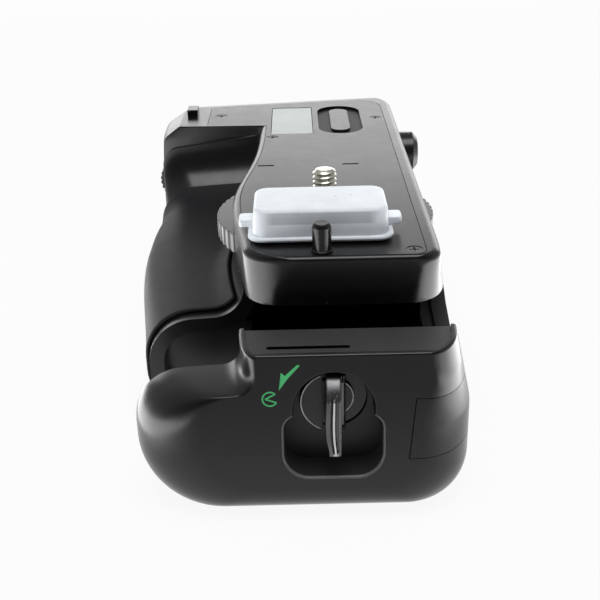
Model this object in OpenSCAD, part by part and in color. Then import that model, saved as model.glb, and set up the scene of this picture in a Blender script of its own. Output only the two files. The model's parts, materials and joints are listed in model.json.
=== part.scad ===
// Vertical battery grip for a camera: housing, controls and a battery tray that pulls out of one end.
// Millimetres. X points to the back of the camera, Y along the length away from the tray, Z up.
// The origin is the mouth of the tripod socket in the base, under the attachment screw.

/* [Housing] */
// Reach from the attachment screw to the tray end
near_len = 48; // [47:0.5:52]
// Reach from the attachment screw to the far end
far_len = 102; // [100:0.5:108]
// Height of the camera seat above the base
body_h = 51.5; // [50.5:0.5:55]
// Reach of the handgrip in front of the socket, at the tray
grip_x = 42.4; // [41:0.2:44]
// Extra reach of the handgrip further along
grip_swell = 7.6; // [6:0.2:9]
// Depth of the handgrip's waist beside the far block
waist = 1.6; // [0.6:0.2:2.4]
// Height of the handgrip's top
grip_h = 29.5; // [28:0.5:31]
// Reach of the back wall behind the screw
back_x = 32.5; // [31.5:0.5:35]
// Reach of the camera seat behind the screw
seat_x = 27.2; // [26.8:0.1:28.4]
// Reach of the camera seat in front of the screw, past the wheel
seat_front = 16.8; // [16.4:0.1:18]
// Extra reach of the seat in front of the screw, beside the wheel
seat_swell = 5.4; // [4:0.2:6]
// Start of the tall far block
far_y = 64; // [62:0.5:66]
// How far the front of the far end falls back
far_slant = 10; // [8:0.5:12]
// Height of the upper block above the tray's ledge
block_h = 11.7; // [11:0.1:12.4]
// Rubber thickness on the handgrip
rubber_t = 1.1; // [0.8:0.1:1.4]

/* [Tray] */
// How far the tray is pulled out as drawn
tray_out = 24; // [12:1:30]
// Depth of the tray's end cap, front to mouth
cap_depth = 14; // [13:0.5:15]
// How far the foot of the end cap leans out
cap_lean = 3.4; // [2:0.2:4.4]
// Width of the battery bay
bay_w = 40; // [38:0.5:40.4]
// Length of the battery bay
bay_len = 73; // [66:1:73]
// Depth of the battery bay
bay_d = 20.8; // [18:0.2:21]

/* [Latch] */
// Radius of the latch knob
knob_r = 7.2; // [7:0.1:7.4]
// Depth of the latch recess
recess_d = 6.4; // [6.2:0.1:7]
// Thickness of the key
key_t = 3.2; // [2.8:0.1:3.3]
// Reach of the key from its hinge
key_reach = 6.2; // [5.9:0.1:6.4]
// Radius of the hinge pin
key_pin_r = 0.5; // [0.4:0.05:0.6]

/* [Attachment] */
// Radius of the attachment wheel
wheel_r = 28.8; // [28:0.2:29.6]
// Thickness of the attachment wheel
wheel_t = 5; // [4.4:0.1:5.2]
// Flutes round the wheel
wheel_flutes = 60; // [40:2:72]
// Outer radius of the quarter-inch attachment screw
screw_r = 3.175; // [3.1:0.025:3.2]
// Height of the attachment screw above the seat
screw_h = 5.4; // [4.5:0.1:6]
// Radius of the guide pin
pin_r = 2.2; // [2:0.1:2.4]
// Height of the guide pin above the seat
pin_h = 6.8; // [6:0.1:7.2]
// Width of the contact cap
cap_w = 32; // [31:0.5:34]
// Height of the contact cap
cap_h = 8; // [7.6:0.1:9]
// Contacts in each row of the camera connector
pin_count = 5; // [4:1:6]

/* [Controls] */
// Radius of the shutter button
button_r = 5; // [4.6:0.1:5.2]
// Radius of the command dials
dial_r = 7.6; // [7:0.1:8]
// Width of the command dials
dial_w = 5; // [4.6:0.1:5.2]
// Ribs round each dial
dial_ribs = 28; // [20:1:32]
// Radius of the direction pad
pad_r = 6.4; // [6.2:0.1:7]
// Radius of the focus button
focus_r = 3.6; // [3.2:0.1:3.8]

/* [Hidden] */
$fn = 64;
cut = 0.05;
gap = 0.3;
touch = 0.02;
run = 0.05;
arc_steps = 5;
ledge_z = body_h - block_h;
lid_z = ledge_z - gap;
ledge_d = 0.6;
ledge_rim = 1.2;
mouth_y = -near_len + cap_depth;
front_y = -near_len + 0.4;
room_top = ledge_z - 3.2;
room_floor = 6.6;
room_step = 30;
room_back = 24.7;
room_front = -18.7;
room_in = -14.8;
room_end = 55.6;
board_y = far_y + 2;
board_x0 = -29;
board_x1 = 16;
board_z = 9;
board_bay = 14;
plate_t = 1.5;
plate_z = body_h - plate_t;
axis_x = 2;
shank_r = screw_r - 0.6;
wheel_z = ledge_z + 0.4;
rim_in = 3.6;
rim_w = 3.6;
scoop_len = 18;
knob_x = 1.5;
knob_z = lid_z - 12.9;
face_y = front_y - cap_lean * (1 - knob_z / lid_z);
floor_y = face_y + recess_d;
knob_y = floor_y - 0.4;
hinge_u = 1.5;
hinge_w = 2;
key_r = 8.3;
shaft_r = 3;
cam_t = 2.4;
cam_w = 3.4;
cam_short = 9.4;
catch_w = 8.6;
catch_z = room_top + 2;
cam_long = catch_z - 0.4 - knob_z;
ear_z = 6.1;
ear_t = 1.1;
barrel_r = 1.1;
moon_t = 2.2;
hub_r = 4.5;
small_r = 1;
small_head = 1.9;
driver = 1.2;
axle_r = 1.5;
axle_out = 2.2;
contact_r = 1.2;
contact_z = 20;
contact_w = 3;
tray_screw_z = 18;
spigot_y = mouth_y + 4.4;
shaft_y = spigot_y + 3.2;
cradle_y = spigot_y + 4.6;
cradle_z = 7;
wall = 1.4;
connector_y = -near_len + 17.5;
connector_d = 4;
guide_y = -near_len + 4;
pad_y = far_y + 2;
pad_z = body_h - 10.2;
pad_x = seat_x - 3.7;
rear_y = far_y + 20.8;
rear_z = body_h - 13.5;
rear_x = seat_x + 2 - dial_r + 2.2;
focus_y = far_y + 14;
focus_z = body_h - 15.5;
front_dial_y = far_y + 9;
front_dial_z = 31;
far_seat = 43;
deck_wing = 36;
rim_back = 1.4;
front_sweep = [12, 8.5];
lug_x = 38;
front_dial_x = -grip_x - grip_swell + dial_r - 1.4;
button_x = -33;
button_z = 27;
button_y = far_len - far_slant * (seat_x - button_x) / (seat_x + grip_x + grip_swell) + 0.8;
base_x = 18;
base_y0 = -26;
base_y1 = 78;
base_t = 1.4;
socket_r = 5.6;
flap_a = [16.2, front_y - 3.4];
flap_b = [back_x - 0.3, mouth_y - 2.6];
flap_z0 = 15;
flap_z1 = 29;

function mix(a, b, t) = a + (b - a) * t;
function clamp(v) = min(1, max(0, v));
function smooth(a, b, v) = let (t = clamp((v - a) / (b - a))) t * t * (3 - 2 * t);
function bell(c, w, v) = exp(-pow((v - c) / w, 2));
function ease(r, deep, d) = d >= deep ? 0 : r * (1 - sqrt(1 - pow(1 - max(d, 0) / deep, 2)));
function unit(v) = v / norm(v);
function wrap(d) = d > 180 ? d - 360 : d < -180 ? d + 360 : d;
function flat(v) = [v[0], v[1]];

// Points of one rounded corner, moved out by t
function corner(a, b, c, r, t) =
    let (u = unit(a - b), v = unit(c - b), half = acos(max(-1, min(1, u * v))) / 2)
    let (fit = 0.49 * min(norm(a - b), norm(c - b)) * tan(half), s = min(r, fit))
    let (turn = cross(b - a, c - b) > 0 ? 1 : -1, mid = b + unit(u + v) * s / sin(half))
    let (p = b + u * s / tan(half) - mid, q = b + v * s / tan(half) - mid)
    let (from = atan2(p[1], p[0]), sweep = wrap(atan2(q[1], q[0]) - from))
    let (out = max(0.1, s + turn * t))
    [for (i = [0 : arc_steps])
        let (a = from + sweep * i / arc_steps)
        mid + out * [cos(a), sin(a)]];

function rounded(vs, t = 0) =
    let (n = len(vs))
    [for (i = [0 : n - 1])
        each corner(flat(vs[(i + n - 1) % n]), flat(vs[i]), flat(vs[(i + 1) % n]), vs[i][2], t)];

// Plan lines of the handgrip's front and of the seat's front edge
function front_x(y) = -grip_x - grip_swell * smooth(mouth_y - 12, 28, y) + waist * bell(far_y - 7, 11, y);
function seat_edge(y) = -seat_front - seat_swell * bell(-6, 30, y);
function scoop(y) = let (s = clamp((y - far_y) / scoop_len + 1)) 1 - sqrt(1 - s * s);

// Corners of the housing's section, each with its radius
function body_verts(y) =
    let (f = scoop(y), g = smooth(far_y, far_y + 1.2, y), d = y + near_len, xl = front_x(y))
    let (xb = seat_edge(y) + ease(front_sweep[0], front_sweep[1], d), xf = seat_edge(y) + 0.5 + ease(5, 7, d))
    let (xs = seat_x - ease(3.5, 3.5, d), xw = seat_x + 3 - ease(13, cap_depth, d))
    let (top = body_h - ease(1.2, 1.2, d))
    [[xl, 0, 17], [back_x, 0, 10], [back_x, 22, 12], [xw, 33, 10], [xs, top, 2],
        [mix(xb, -far_seat, g), top, 2],
        [mix(xf, xl + 0.8, g), mix(grip_h + 1.5 + f * 17.5, body_h - 4, g), mix(8 - 6 * f, 4, g)],
        [xl, mix(grip_h + f * 14.5, grip_h + 6.5, g), 12 - 6 * f]];

// Corners of the end cap's section
function cap_verts(y) =
    let (d = y - front_y, xl = front_x(mouth_y) + ease(17, cap_depth, d))
    let (xb = seat_edge(mouth_y) + ease(4, cap_depth, d), xr = back_x - ease(13, cap_depth, d))
    let (xs = seat_x + 1.6 - ease(7.6, cap_depth, d), foot = ease(8, 8, d))
    [[xl, foot, 17], [xr, foot, 10], [xr, 22, 12], [xs + 1.4, 33, 10], [xs, lid_z, 0.8],
        [xb + 0.3, lid_z, 0.8], [xb + 0.5, grip_h + 1.5, 8], [xl, grip_h, 12]];

function body_place(p, y) =
    let (d = far_len - y, sx = 1 - ease(12, 12, d) / 40, sz = 1 - ease(4, 4, d) / 26)
    let (x = -8 + (p[0] + 8) * sx, z = 26 + (p[1] - 26) * sz)
    [x, y - far_slant * smooth(far_y + 2, far_len, y) * (seat_x - x) / (seat_x + grip_x + grip_swell), z];

function cap_place(p, y) =
    [p[0], y - cap_lean * (1 - p[1] / lid_z) * clamp(1 - (y - front_y) / cap_depth), p[1]];

function body_ring(y, t = 0) = [for (p = rounded(body_verts(y), t)) body_place(p, y)];
function cap_ring(y, t = 0) = [for (p = rounded(cap_verts(y), t)) cap_place(p, y)];

// Solid between rings that all have the same number of points
module skin(rings, start, end) {
    n = len(rings[0]);
    m = len(rings);
    sides = [for (j = [0 : m - 2]) for (i = [0 : n - 1]) let (k = (i + 1) % n)
        each [[j * n + i, (j + 1) * n + k, (j + 1) * n + i], [j * n + i, j * n + k, (j + 1) * n + k]]];
    first = [for (i = [0 : n - 1]) [m * n, (i + 1) % n, i]];
    last = [for (i = [0 : n - 1]) [m * n + 1, (m - 1) * n + i, (m - 1) * n + (i + 1) % n]];
    points = concat([for (r = rings) each r], [start, end]);
    polyhedron(points, concat(sides, first, last), convexity = 12);
}

// Sheet between two open rows of points
module sheet(outer, inner) {
    n = len(outer[0]);
    m = len(outer);
    b = m * n;
    faces = [for (j = [0 : m - 2]) for (i = [0 : n - 2]) let (o = j * n + i, s = (j + 1) * n + i)
        each [[o, s + 1, s], [o, o + 1, s + 1], [b + o, b + s, b + s + 1], [b + o, b + s + 1, b + o + 1]]];
    ends = [for (i = [0 : n - 2]) let (f = (m - 1) * n + i)
        each [[i, b + i, b + i + 1], [i, b + i + 1, i + 1], [f, f + 1, b + f + 1], [f, b + f + 1, b + f]]];
    edges = [for (j = [0 : m - 2]) let (o = j * n, s = o + n, p = o + n - 1, q = s + n - 1)
        each [[o, s, b + s], [o, b + s, b + o], [p, b + q, q], [p, b + p, b + q]]];
    points = concat([for (r = outer) each r], [for (r = inner) each r]);
    polyhedron(points, concat(faces, ends, edges), convexity = 12);
}

// Rounded rectangle from a low to a high corner
module slab2d(low, high, r) {
    translate([low[0] + r, low[1]]) square([high[0] - low[0] - 2 * r, high[1] - low[1]]);
    translate([low[0], low[1] + r]) square([high[0] - low[0], high[1] - low[1] - 2 * r]);
    for (x = [low[0] + r, high[0] - r])
        for (y = [low[1] + r, high[1] - r])
            translate([x, y]) circle(r);
}

module slab(low, high, r) {
    translate([0, 0, low[2]])
        linear_extrude(high[2] - low[2])
            slab2d([low[0], low[1]], [high[0], high[1]], r);
}

module box(low, high) {
    translate(low) cube(high - low);
}

// Round bar along Y from y0 to y1
module bar_y(x, z, r, y0, y1) {
    translate([x, y0, z]) rotate([-90, 0, 0]) cylinder(r = r, h = y1 - y0);
}

// Round bar along X from x0 to x1
module bar_x(y, z, r, x0, x1) {
    translate([x0, y, z]) rotate([0, 90, 0]) cylinder(r = r, h = x1 - x0);
}

// Round bar along Z from z0 to z1
module bar_z(x, y, r, z0, z1) {
    translate([x, y, z0]) cylinder(r = r, h = z1 - z0);
}

// Flat shape drawn in X and Z, from y0 to y1
module panel_y(y0, y1) {
    translate([0, y1, 0]) rotate([90, 0, 0]) linear_extrude(y1 - y0) children();
}

grip_stations = concat(
    [for (i = [0 : 12]) mix(mouth_y + rim_w, far_y - scoop_len, i / 12)],
    [for (s = [4, 8, 11]) far_y - scoop_len + s]);
body_stations = concat(
    [for (d = [0, 0.3, 0.8, 1.6, 2.8, 4.2, 5.6, 7.2, 9, cap_depth]) -near_len + d],
    grip_stations,
    [for (s = [3.6, 1.8, 0.8, 0.2, -0.1, -0.6, -1.4, -4]) far_y - s],
    [for (i = [1 : 4]) mix(far_y + 4, far_len - 12, i / 4)],
    [for (d = [9, 6.6, 4.6, 3, 1.8, 0.8, 0.2, 0]) far_len - d]);
cap_stations = [for (d = [0, 0.2, 0.7, 1.5, 2.7, 4.2, 6, 8, 10.6, cap_depth - 0.7]) front_y + d];

module body_form() {
    rings = [for (y = body_stations) body_ring(y)];
    skin(rings, body_place([-3, 22], -near_len), body_place([-3, 22], far_len));
}

module cap_form() {
    rings = [for (y = cap_stations) cap_ring(y)];
    skin(rings, cap_place([-3, 20], front_y), [-3, front_y + cap_depth - 0.7, 20]);
}

// Section of the mouth, drawn in from the rim by t
module mouth2d(t, top) {
    intersection() {
        polygon(rounded(body_verts(mouth_y), -t));
        translate([-80, t]) square([160, top - t]);
    }
}

// Outline of the seat, drawn in by t
module plate2d(t) {
    near = -near_len + t - 1;
    turn = near + front_sweep[1];
    edge = [for (i = [0 : 18]) let (y = mix(turn, far_y, i / 18)) [seat_edge(y) + t, y]];
    right = seat_x - t - rim_back;
    back = far_len - 6 - t;
    left = back - far_slant * 0.72;
    front_turn = [for (a = [0 : 15 : 75])
        [seat_edge(turn) + t + front_sweep[0] * (1 - sin(a)), turn - front_sweep[1] * cos(a)]];
    back_turn = [for (a = [0 : 18 : 90]) [right - 2.6 + 2.6 * cos(a), near + 2.6 - 2.6 * sin(a)]];
    far_turn = [for (a = [0 : 18 : 90]) [right - 8 + 8 * sin(a), back - 8 + 8 * cos(a)]];
    wing = [[-deck_wing + t, far_y + t], [-deck_wing + t, left], [-deck_wing + t + 3, left + 1.6]];
    polygon(concat(edge, wing, far_turn, back_turn, front_turn));
}

plate_screw_at = [
    [seat_x - 6.2, -near_len + 4],
    [seat_x - 6.4, far_y + 7],
    [-seat_front + 4.2, far_y - 14],
    [-deck_wing + 6, far_y + 13]];
base_screw_at = [for (x = [-base_x + 4, base_x - 4]) for (y = [base_y0 + 4, base_y1 - 4]) [x, y]];
function pin_x(i) = (i - (pin_count - 1) / 2) * 4.4;
contact_at = [-12, 6];
tray_screw_at = [room_front + 3.6, room_back - 3.6];

// Room for a command dial and its axle
module dial_room(x, z, y) {
    bar_y(x, z, dial_r + 0.5, y - gap, y + dial_w + gap);
    bar_y(x, z, axle_r + touch, y - axle_out, y + dial_w + axle_out);
}

module main_housing() {
    color("dimgray")
    difference() {
        union() {
            body_form();
            bar_y(button_x, button_z, 9.4, button_y - 14, button_y);
            slab([-lug_x - 3.4, far_y + 14, body_h - 8], [-lug_x, far_y + 20, body_h + 2], 1);
        }
        box([-90, -90, -1], [90, mouth_y, ledge_z]);
        panel_y(mouth_y - cut, spigot_y + 1) mouth2d(rim_in, room_top + 0.2);
        box([room_front, mouth_y, room_floor], [room_back, room_end, room_step]);
        box([room_in, mouth_y, room_floor], [room_back, room_end, room_top]);
        box([knob_x - catch_w, spigot_y - 0.4, room_top - 1],
            [knob_x + cam_w + 0.6, spigot_y + 4.2, catch_z]);
        bar_z(axis_x, 0, wheel_r + 0.6, wheel_z - gap, wheel_z + wheel_t + gap);
        bar_z(axis_x, 0, screw_r + 0.4, wheel_z, body_h + 1);
        bar_z(axis_x, 0, 5.6, wheel_z, wheel_z + wheel_t + 2);
        translate([0, 0, plate_z]) linear_extrude(plate_t + 1) plate2d(2);
        pad_at([15.2, 6.7], plate_z - connector_d, body_h + 1, 1.5);
        bar_z(0, guide_y, pin_r + touch, plate_z - 4, body_h + 1);
        for (p = plate_screw_at)
            bar_z(p[0], p[1], small_r + touch, plate_z - 6, body_h);
        slab([-base_x - 0.2, base_y0 - 0.2, -1], [base_x + 0.2, base_y1 + 0.2, base_t], 4.2);
        bar_z(0, 0, socket_r + touch, -1, room_floor - 0.6);
        for (p = base_screw_at)
            bar_z(p[0], p[1], small_r + touch, -1, 6);
        box([board_x0, board_y, board_z], [board_x1, board_y + board_bay, room_top]);
        for (x = contact_at)
            bar_y(x, contact_z, contact_r + touch, room_end - 1, board_y + 1);
        bar_x(pad_y, pad_z, pad_r + 1, pad_x - 3, back_x + 10);
        bar_y(pad_x, pad_z, 0.85, pad_y - pad_r - 2.6, pad_y + pad_r + 2.6);
        bar_x(focus_y, focus_z, focus_r + gap, pad_x - 2.5, back_x + 10);
        dial_room(rear_x, rear_z, rear_y);
        dial_room(front_dial_x, front_dial_z, front_dial_y);
        bar_y(button_x, button_z, button_r + gap, button_y - 7, button_y + 20);
        difference() {
            bar_y(button_x, button_z, 30, button_y, button_y + 30);
            box([button_x + 9, -200, -200], [200, 200, 200]);
        }
    }
}

module top_plate() {
    color("black")
    difference() {
        translate([0, 0, plate_z + touch]) linear_extrude(plate_t - touch) plate2d(2.15);
        bar_z(axis_x, 0, screw_r + 0.4, plate_z - 1, body_h + 1);
        pad_at([15, 6.5], plate_z - 1, body_h + 1, 1.4);
        bar_z(0, guide_y, pin_r + touch, plate_z - 1, body_h + 1);
        for (p = plate_screw_at) {
            bar_z(p[0], p[1], small_r + touch, plate_z - 1, body_h + 1);
            bar_z(p[0], p[1], small_head + touch, body_h - 0.7, body_h + 1);
        }
        difference() {
            slab([2, far_y - 11, body_h - 0.8], [16, far_y + 23, body_h + 1], 6.9);
            slab([6, far_y - 7, body_h - 1], [12, far_y + 19, body_h + 2], 2.9);
        }
        slab([-13.2, far_y - 10.2, body_h - 0.5], [0.2, far_y + 22.2, body_h + 1], 1);
        for (x = [-14, 10])
            slab([x - 2.4, 20.5, body_h - 0.4], [x + 2.4, 21.5, body_h + 1], 0.45);
    }
}

// Cross for a driver in a small screw at p
module cross_slot(p, z0, z1) {
    box([p[0] - driver, p[1] - driver / 5, z0], [p[0] + driver, p[1] + driver / 5, z1]);
    box([p[0] - driver / 5, p[1] - driver, z0], [p[0] + driver / 5, p[1] + driver, z1]);
}

module plate_screws() {
    color("gray")
    for (p = plate_screw_at) {
        bar_z(p[0], p[1], small_r, plate_z - 5, body_h - 0.4);
        difference() {
            bar_z(p[0], p[1], small_head, body_h - 0.7 + touch, body_h - 0.1);
            cross_slot(p, body_h - 0.5, body_h + 1);
        }
    }
}

module label_plate() {
    color("silver")
    slab([-13, far_y - 10, body_h - 0.5 + touch], [0, far_y + 22, body_h - 0.1], 0.9);
}

// Part of a ring from the foot of the seat's wall round the front to the base
function grip_row(y, t) =
    let (r = body_ring(y, t), k = arc_steps + 1)
    concat([for (i = [6 * k + 2 : 8 * k - 1]) r[i]], [for (i = [0 : arc_steps - 2]) r[i]]);

// Part of a ring on the lower back
function thumb_row(y, t) =
    let (r = body_ring(y, t), k = arc_steps + 1)
    [for (i = [k + 3 : 3 * k - 1]) r[i]];

module grip_rubber() {
    color("black")
        sheet([for (y = grip_stations) grip_row(y, rubber_t)], [for (y = grip_stations) grip_row(y, touch)]);
}

module thumb_rubber() {
    color("black") {
        stations = [for (i = [0 : 8]) mix(far_y - 26, far_y + 22, i / 8)];
        sheet([for (y = stations) thumb_row(y, rubber_t - 0.2)], [for (y = stations) thumb_row(y, touch)]);
    }
}

module base_plate() {
    color("dimgray")
    difference() {
        slab([-base_x, base_y0, 0], [base_x, base_y1, base_t - touch], 4);
        bar_z(0, 0, socket_r + 1.6 + touch, -1, base_t + 1);
        for (p = base_screw_at) {
            bar_z(p[0], p[1], small_r + touch, -1, base_t + 1);
            bar_z(p[0], p[1], small_head + touch, -1, 0.8);
        }
    }
}

module base_screws() {
    color("gray")
    for (p = base_screw_at) {
        bar_z(p[0], p[1], small_r, 0.5, 5.6);
        difference() {
            bar_z(p[0], p[1], small_head, 0.1, 0.8 - touch);
            cross_slot(p, -1, 0.5);
        }
    }
}

module tripod_socket() {
    color("silver")
    difference() {
        union() {
            bar_z(0, 0, socket_r, 0, room_floor - 0.6 - touch);
            bar_z(0, 0, socket_r + 1.6, 0, base_t - touch);
        }
        bar_z(0, 0, screw_r, -1, room_floor - 1.4);
    }
}

// Rounded block centred on the camera connector
module pad_at(half, z0, z1, r) {
    slab([-half[0], connector_y - half[1], z0], [half[0], connector_y + half[1], z1], r);
}

module contact_block() {
    color("black")
    difference() {
        union() {
            pad_at([14.9, 6.4], plate_z - connector_d + touch, body_h + 0.4, 1.3);
            pad_at([12.5, 4.4], body_h, body_h + 4, 1.2);
        }
        for (i = [0 : pin_count - 1])
            for (s = [-1, 1])
                bar_z(pin_x(i), connector_y + s * 2, 0.9 + touch, body_h - 3, body_h + 5);
    }
}

module signal_pins() {
    color("gold")
    for (i = [0 : pin_count - 1])
        for (s = [-1, 1])
            translate([pin_x(i), connector_y + s * 2, body_h - 3 + touch]) {
                cylinder(r = 0.9, h = 7.2);
                translate([0, 0, 7.2]) cylinder(r1 = 0.9, r2 = 0.4, h = 0.6);
            }
}

module guide_pin() {
    color("black") {
        bar_z(0, guide_y, pin_r, plate_z - 4 + touch, body_h + pin_h - 1);
        translate([0, guide_y, body_h + pin_h - 1]) cylinder(r1 = pin_r, r2 = pin_r - 0.5, h = 1);
        bar_z(0, guide_y, pin_r + 0.3, body_h + touch, body_h + 0.5);
    }
}

module contact_cap() {
    base = body_h + 0.5;
    color([0.9, 0.93, 0.95, 0.5])
    difference() {
        union() {
            pad_at([cap_w / 2, 9.1], base, base + cap_h - 0.5, 3.4);
            pad_at([cap_w / 2 + 1, 9.7], base, base + 1.2, 3.9);
            pad_at([cap_w / 2 + 3.2, 2.6], base + 1.4, base + 3.2, 1);
        }
        pad_at([cap_w / 2 - 1.2, 7.9], base - 1, base + cap_h - 1.8, 2.2);
    }
}

module attachment_wheel() {
    color("dimgray")
    translate([axis_x, 0, 0])
    difference() {
        bar_z(0, 0, wheel_r, wheel_z, wheel_z + wheel_t);
        for (i = [0 : wheel_flutes - 1])
            rotate(i * 360 / wheel_flutes)
                bar_z(wheel_r + 0.5, 0, 0.95, wheel_z - 1, wheel_z + wheel_t + 1);
        bar_z(0, 0, shank_r + touch, wheel_z - 1, wheel_z + wheel_t + 1);
        bar_z(0, 0, 6 + touch, wheel_z - 1, wheel_z + 2);
    }
}

module attachment_screw() {
    color("silver") {
        bar_z(axis_x, 0, 6, wheel_z, wheel_z + 2 - touch);
        bar_z(axis_x, 0, shank_r, wheel_z, body_h + touch);
        bar_z(axis_x, 0, screw_r, body_h, body_h + screw_h - 1);
        translate([axis_x, 0, body_h + screw_h - 1]) cylinder(r1 = screw_r, r2 = screw_r - 1, h = 1);
    }
}

module retaining_ring() {
    color("gray")
    difference() {
        bar_z(axis_x, 0, 5, wheel_z + wheel_t + touch, wheel_z + wheel_t + 0.8);
        bar_z(axis_x, 0, shank_r + touch, wheel_z, wheel_z + wheel_t + 2);
        box([axis_x - 1.2, 0, wheel_z], [axis_x + 1.2, 9, wheel_z + wheel_t + 2]);
    }
}

module main_board() {
    color("green")
    box([board_x0 + touch, board_y + 0.4, board_z + touch],
        [board_x1 - touch, board_y + 2, room_top - touch]);
}

module chamber_contacts() {
    color("gold")
    for (x = contact_at)
        bar_y(x, contact_z, contact_r, room_end - 2.6, board_y + 0.4 - touch);
}

module shutter_button() {
    color("black")
    translate([button_x, button_y - 5.6, button_z])
        rotate([-90, 0, 0]) {
            cylinder(r = button_r, h = 7.4);
            translate([0, 0, 7.4]) cylinder(r1 = button_r, r2 = button_r - 1.4, h = 0.8);
        }
}

module lock_collar() {
    color("dimgray")
    difference() {
        union() {
            bar_y(button_x, button_z, 8.6, button_y + touch, button_y + 2.6);
            translate([button_x, button_y + touch, button_z])
                rotate([0, 30, 0])
                    box([-11, 0, -1.4], [-7, 2.6 - touch, 1.4]);
        }
        bar_y(button_x, button_z, button_r + gap, button_y - 1, button_y + 4);
    }
}

module ribbed_dial(x, z, y) {
    difference() {
        bar_y(x, z, dial_r, y, y + dial_w);
        bar_y(x, z, axle_r + run, y - 1, y + dial_w + 1);
        for (i = [0 : dial_ribs - 1])
            translate([x, y - 1, z])
                rotate([-90, 0, 0])
                    rotate(i * 360 / dial_ribs)
                        translate([dial_r + 0.25, 0, 0]) cylinder(r = 0.6, h = dial_w + 2);
    }
}

module dial_axle(x, z, y) {
    bar_y(x, z, axle_r, y - axle_out + touch, y + dial_w + axle_out - touch);
}

module front_dial() {
    color("black") ribbed_dial(front_dial_x, front_dial_z, front_dial_y);
}

module front_axle() {
    color("silver") dial_axle(front_dial_x, front_dial_z, front_dial_y);
}

module rear_dial() {
    color("black") ribbed_dial(rear_x, rear_z, rear_y);
}

module rear_axle() {
    color("silver") dial_axle(rear_x, rear_z, rear_y);
}

module pad_gimbal() {
    color("silver")
    difference() {
        union() {
            bar_x(pad_y, pad_z, 5.8, pad_x - 1, pad_x + 1);
            bar_y(pad_x, pad_z, 0.8, pad_y - pad_r - 2.3, pad_y + pad_r + 2.3);
        }
        bar_x(pad_y, pad_z, 3.6, pad_x - 5, pad_x + 5);
        bar_z(pad_x, pad_y, 0.65, pad_z - 7, pad_z + 7);
    }
}

module direction_pad() {
    color("black") {
        bar_x(pad_y, pad_z, 2.4, pad_x - 1.4, pad_x + 3);
        bar_z(pad_x, pad_y, 0.6, pad_z - 5.6, pad_z + 5.6);
        bar_x(pad_y, pad_z, pad_r, pad_x + 2.6, pad_x + 9);
        translate([pad_x + 9, pad_y, pad_z])
            rotate([0, 90, 0])
                cylinder(r1 = pad_r, r2 = pad_r - 2, h = 1.6);
    }
}

module focus_button() {
    color("black")
    translate([pad_x - 0.6, focus_y, focus_z])
        rotate([0, 90, 0]) {
            cylinder(r = focus_r, h = seat_x + 4.4 - pad_x);
            translate([0, 0, seat_x + 4.4 - pad_x]) cylinder(r1 = focus_r, r2 = focus_r - 0.6, h = 0.6);
        }
}

module latch2d() {
    translate([knob_x, knob_z]) {
        circle(knob_r + 1.5);
        slab2d([-10.8, -15.6], [10.4, -1], 5.6);
        slab2d([-10.8, -8], [10.4, -1], 3.4);
    }
}

// Corner of the end cap that the rubber flap fills, grown by t
module flap_zone(t) {
    n = unit([flap_b[1] - flap_a[1], flap_a[0] - flap_b[0]]);
    a = flap_a - n * t;
    b = flap_b - n * t;
    e = unit(flap_b - flap_a) * t;
    translate([0, 0, flap_z0 - t])
        linear_extrude(flap_z1 - flap_z0 + 2 * t)
            polygon([a - e, b + e, b + e + n * 30, a - e + n * 30]);
}

// Floor of the end cap's ledge, inside a rim of width t
module ledge2d(t) {
    steps = [for (i = [0 : 9]) front_y + t + (cap_depth - t) * (1 - cos(10 * i))];
    left = [for (y = steps) [cap_verts(y)[5][0] + t, y]];
    right = [for (i = [9 : -1 : 0]) [cap_verts(steps[i])[4][0] - t, steps[i]]];
    polygon(concat(left, right));
}

module tray_end_cap() {
    color("black")
    translate([0, -tray_out, 0])
    difference() {
        union() {
            cap_form();
            panel_y(mouth_y - 2, spigot_y) mouth2d(rim_in + 0.4, room_top - 0.2);
        }
        panel_y(face_y - 20, floor_y) latch2d();
        bar_y(knob_x, knob_z, knob_r + gap, floor_y - cut, floor_y + 2);
        bar_y(knob_x, knob_z, shaft_r + run, floor_y, spigot_y + 1);
        translate([0, 0, lid_z - ledge_d]) linear_extrude(2) ledge2d(ledge_rim);
        slab([-12.6, front_y + 4.1, lid_z - 1.5], [5.2, front_y + 5.4, lid_z + 1], 0.6);
        flap_zone(0.15);
        box([flap_a[0] + 6, front_y + 2, 17], [flap_a[0] + 11, front_y + 9, 23]);
        for (x = tray_screw_at)
            bar_y(x, tray_screw_z, small_r + touch, spigot_y - 5, spigot_y + 1);
    }
}

module cable_flap() {
    color("black")
    translate([0, -tray_out, 0])
    intersection() {
        cap_form();
        flap_zone(0);
    }
}

module tray_cradle() {
    low = room_front + 0.5;
    high = room_back - 0.5;
    bay_x = (low + high) / 2;
    end = cradle_y + wall + bay_len + wall;
    top = cradle_z + wall + bay_d;
    color("dimgray")
    translate([0, -tray_out, 0])
    difference() {
        union() {
            box([low, cradle_y, cradle_z], [high, end, top]);
            box([low, spigot_y + touch, cradle_z], [low + 5, cradle_y + wall, top - 3]);
            box([high - 5, spigot_y + touch, cradle_z], [high, cradle_y + wall, top - 3]);
        }
        box([bay_x - bay_w / 2, cradle_y + wall, cradle_z + wall], [bay_x + bay_w / 2, end - wall, 90]);
        for (x = tray_screw_at)
            bar_y(x, tray_screw_z, small_r + touch, spigot_y - 1, cradle_y + wall + 1);
        for (x = contact_at)
            box([x - contact_w - touch, end - wall - 1, contact_z - contact_w],
                [x + contact_w + touch, end + 1, contact_z + contact_w]);
    }
}

module tray_contacts() {
    end = cradle_y + wall + bay_len + wall;
    color("gold")
    translate([0, -tray_out, 0])
        for (x = contact_at)
            box([x - contact_w, end - wall - 0.5, contact_z - contact_w + touch],
                [x + contact_w, end + 0.4, contact_z + contact_w - touch]);
}

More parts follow.
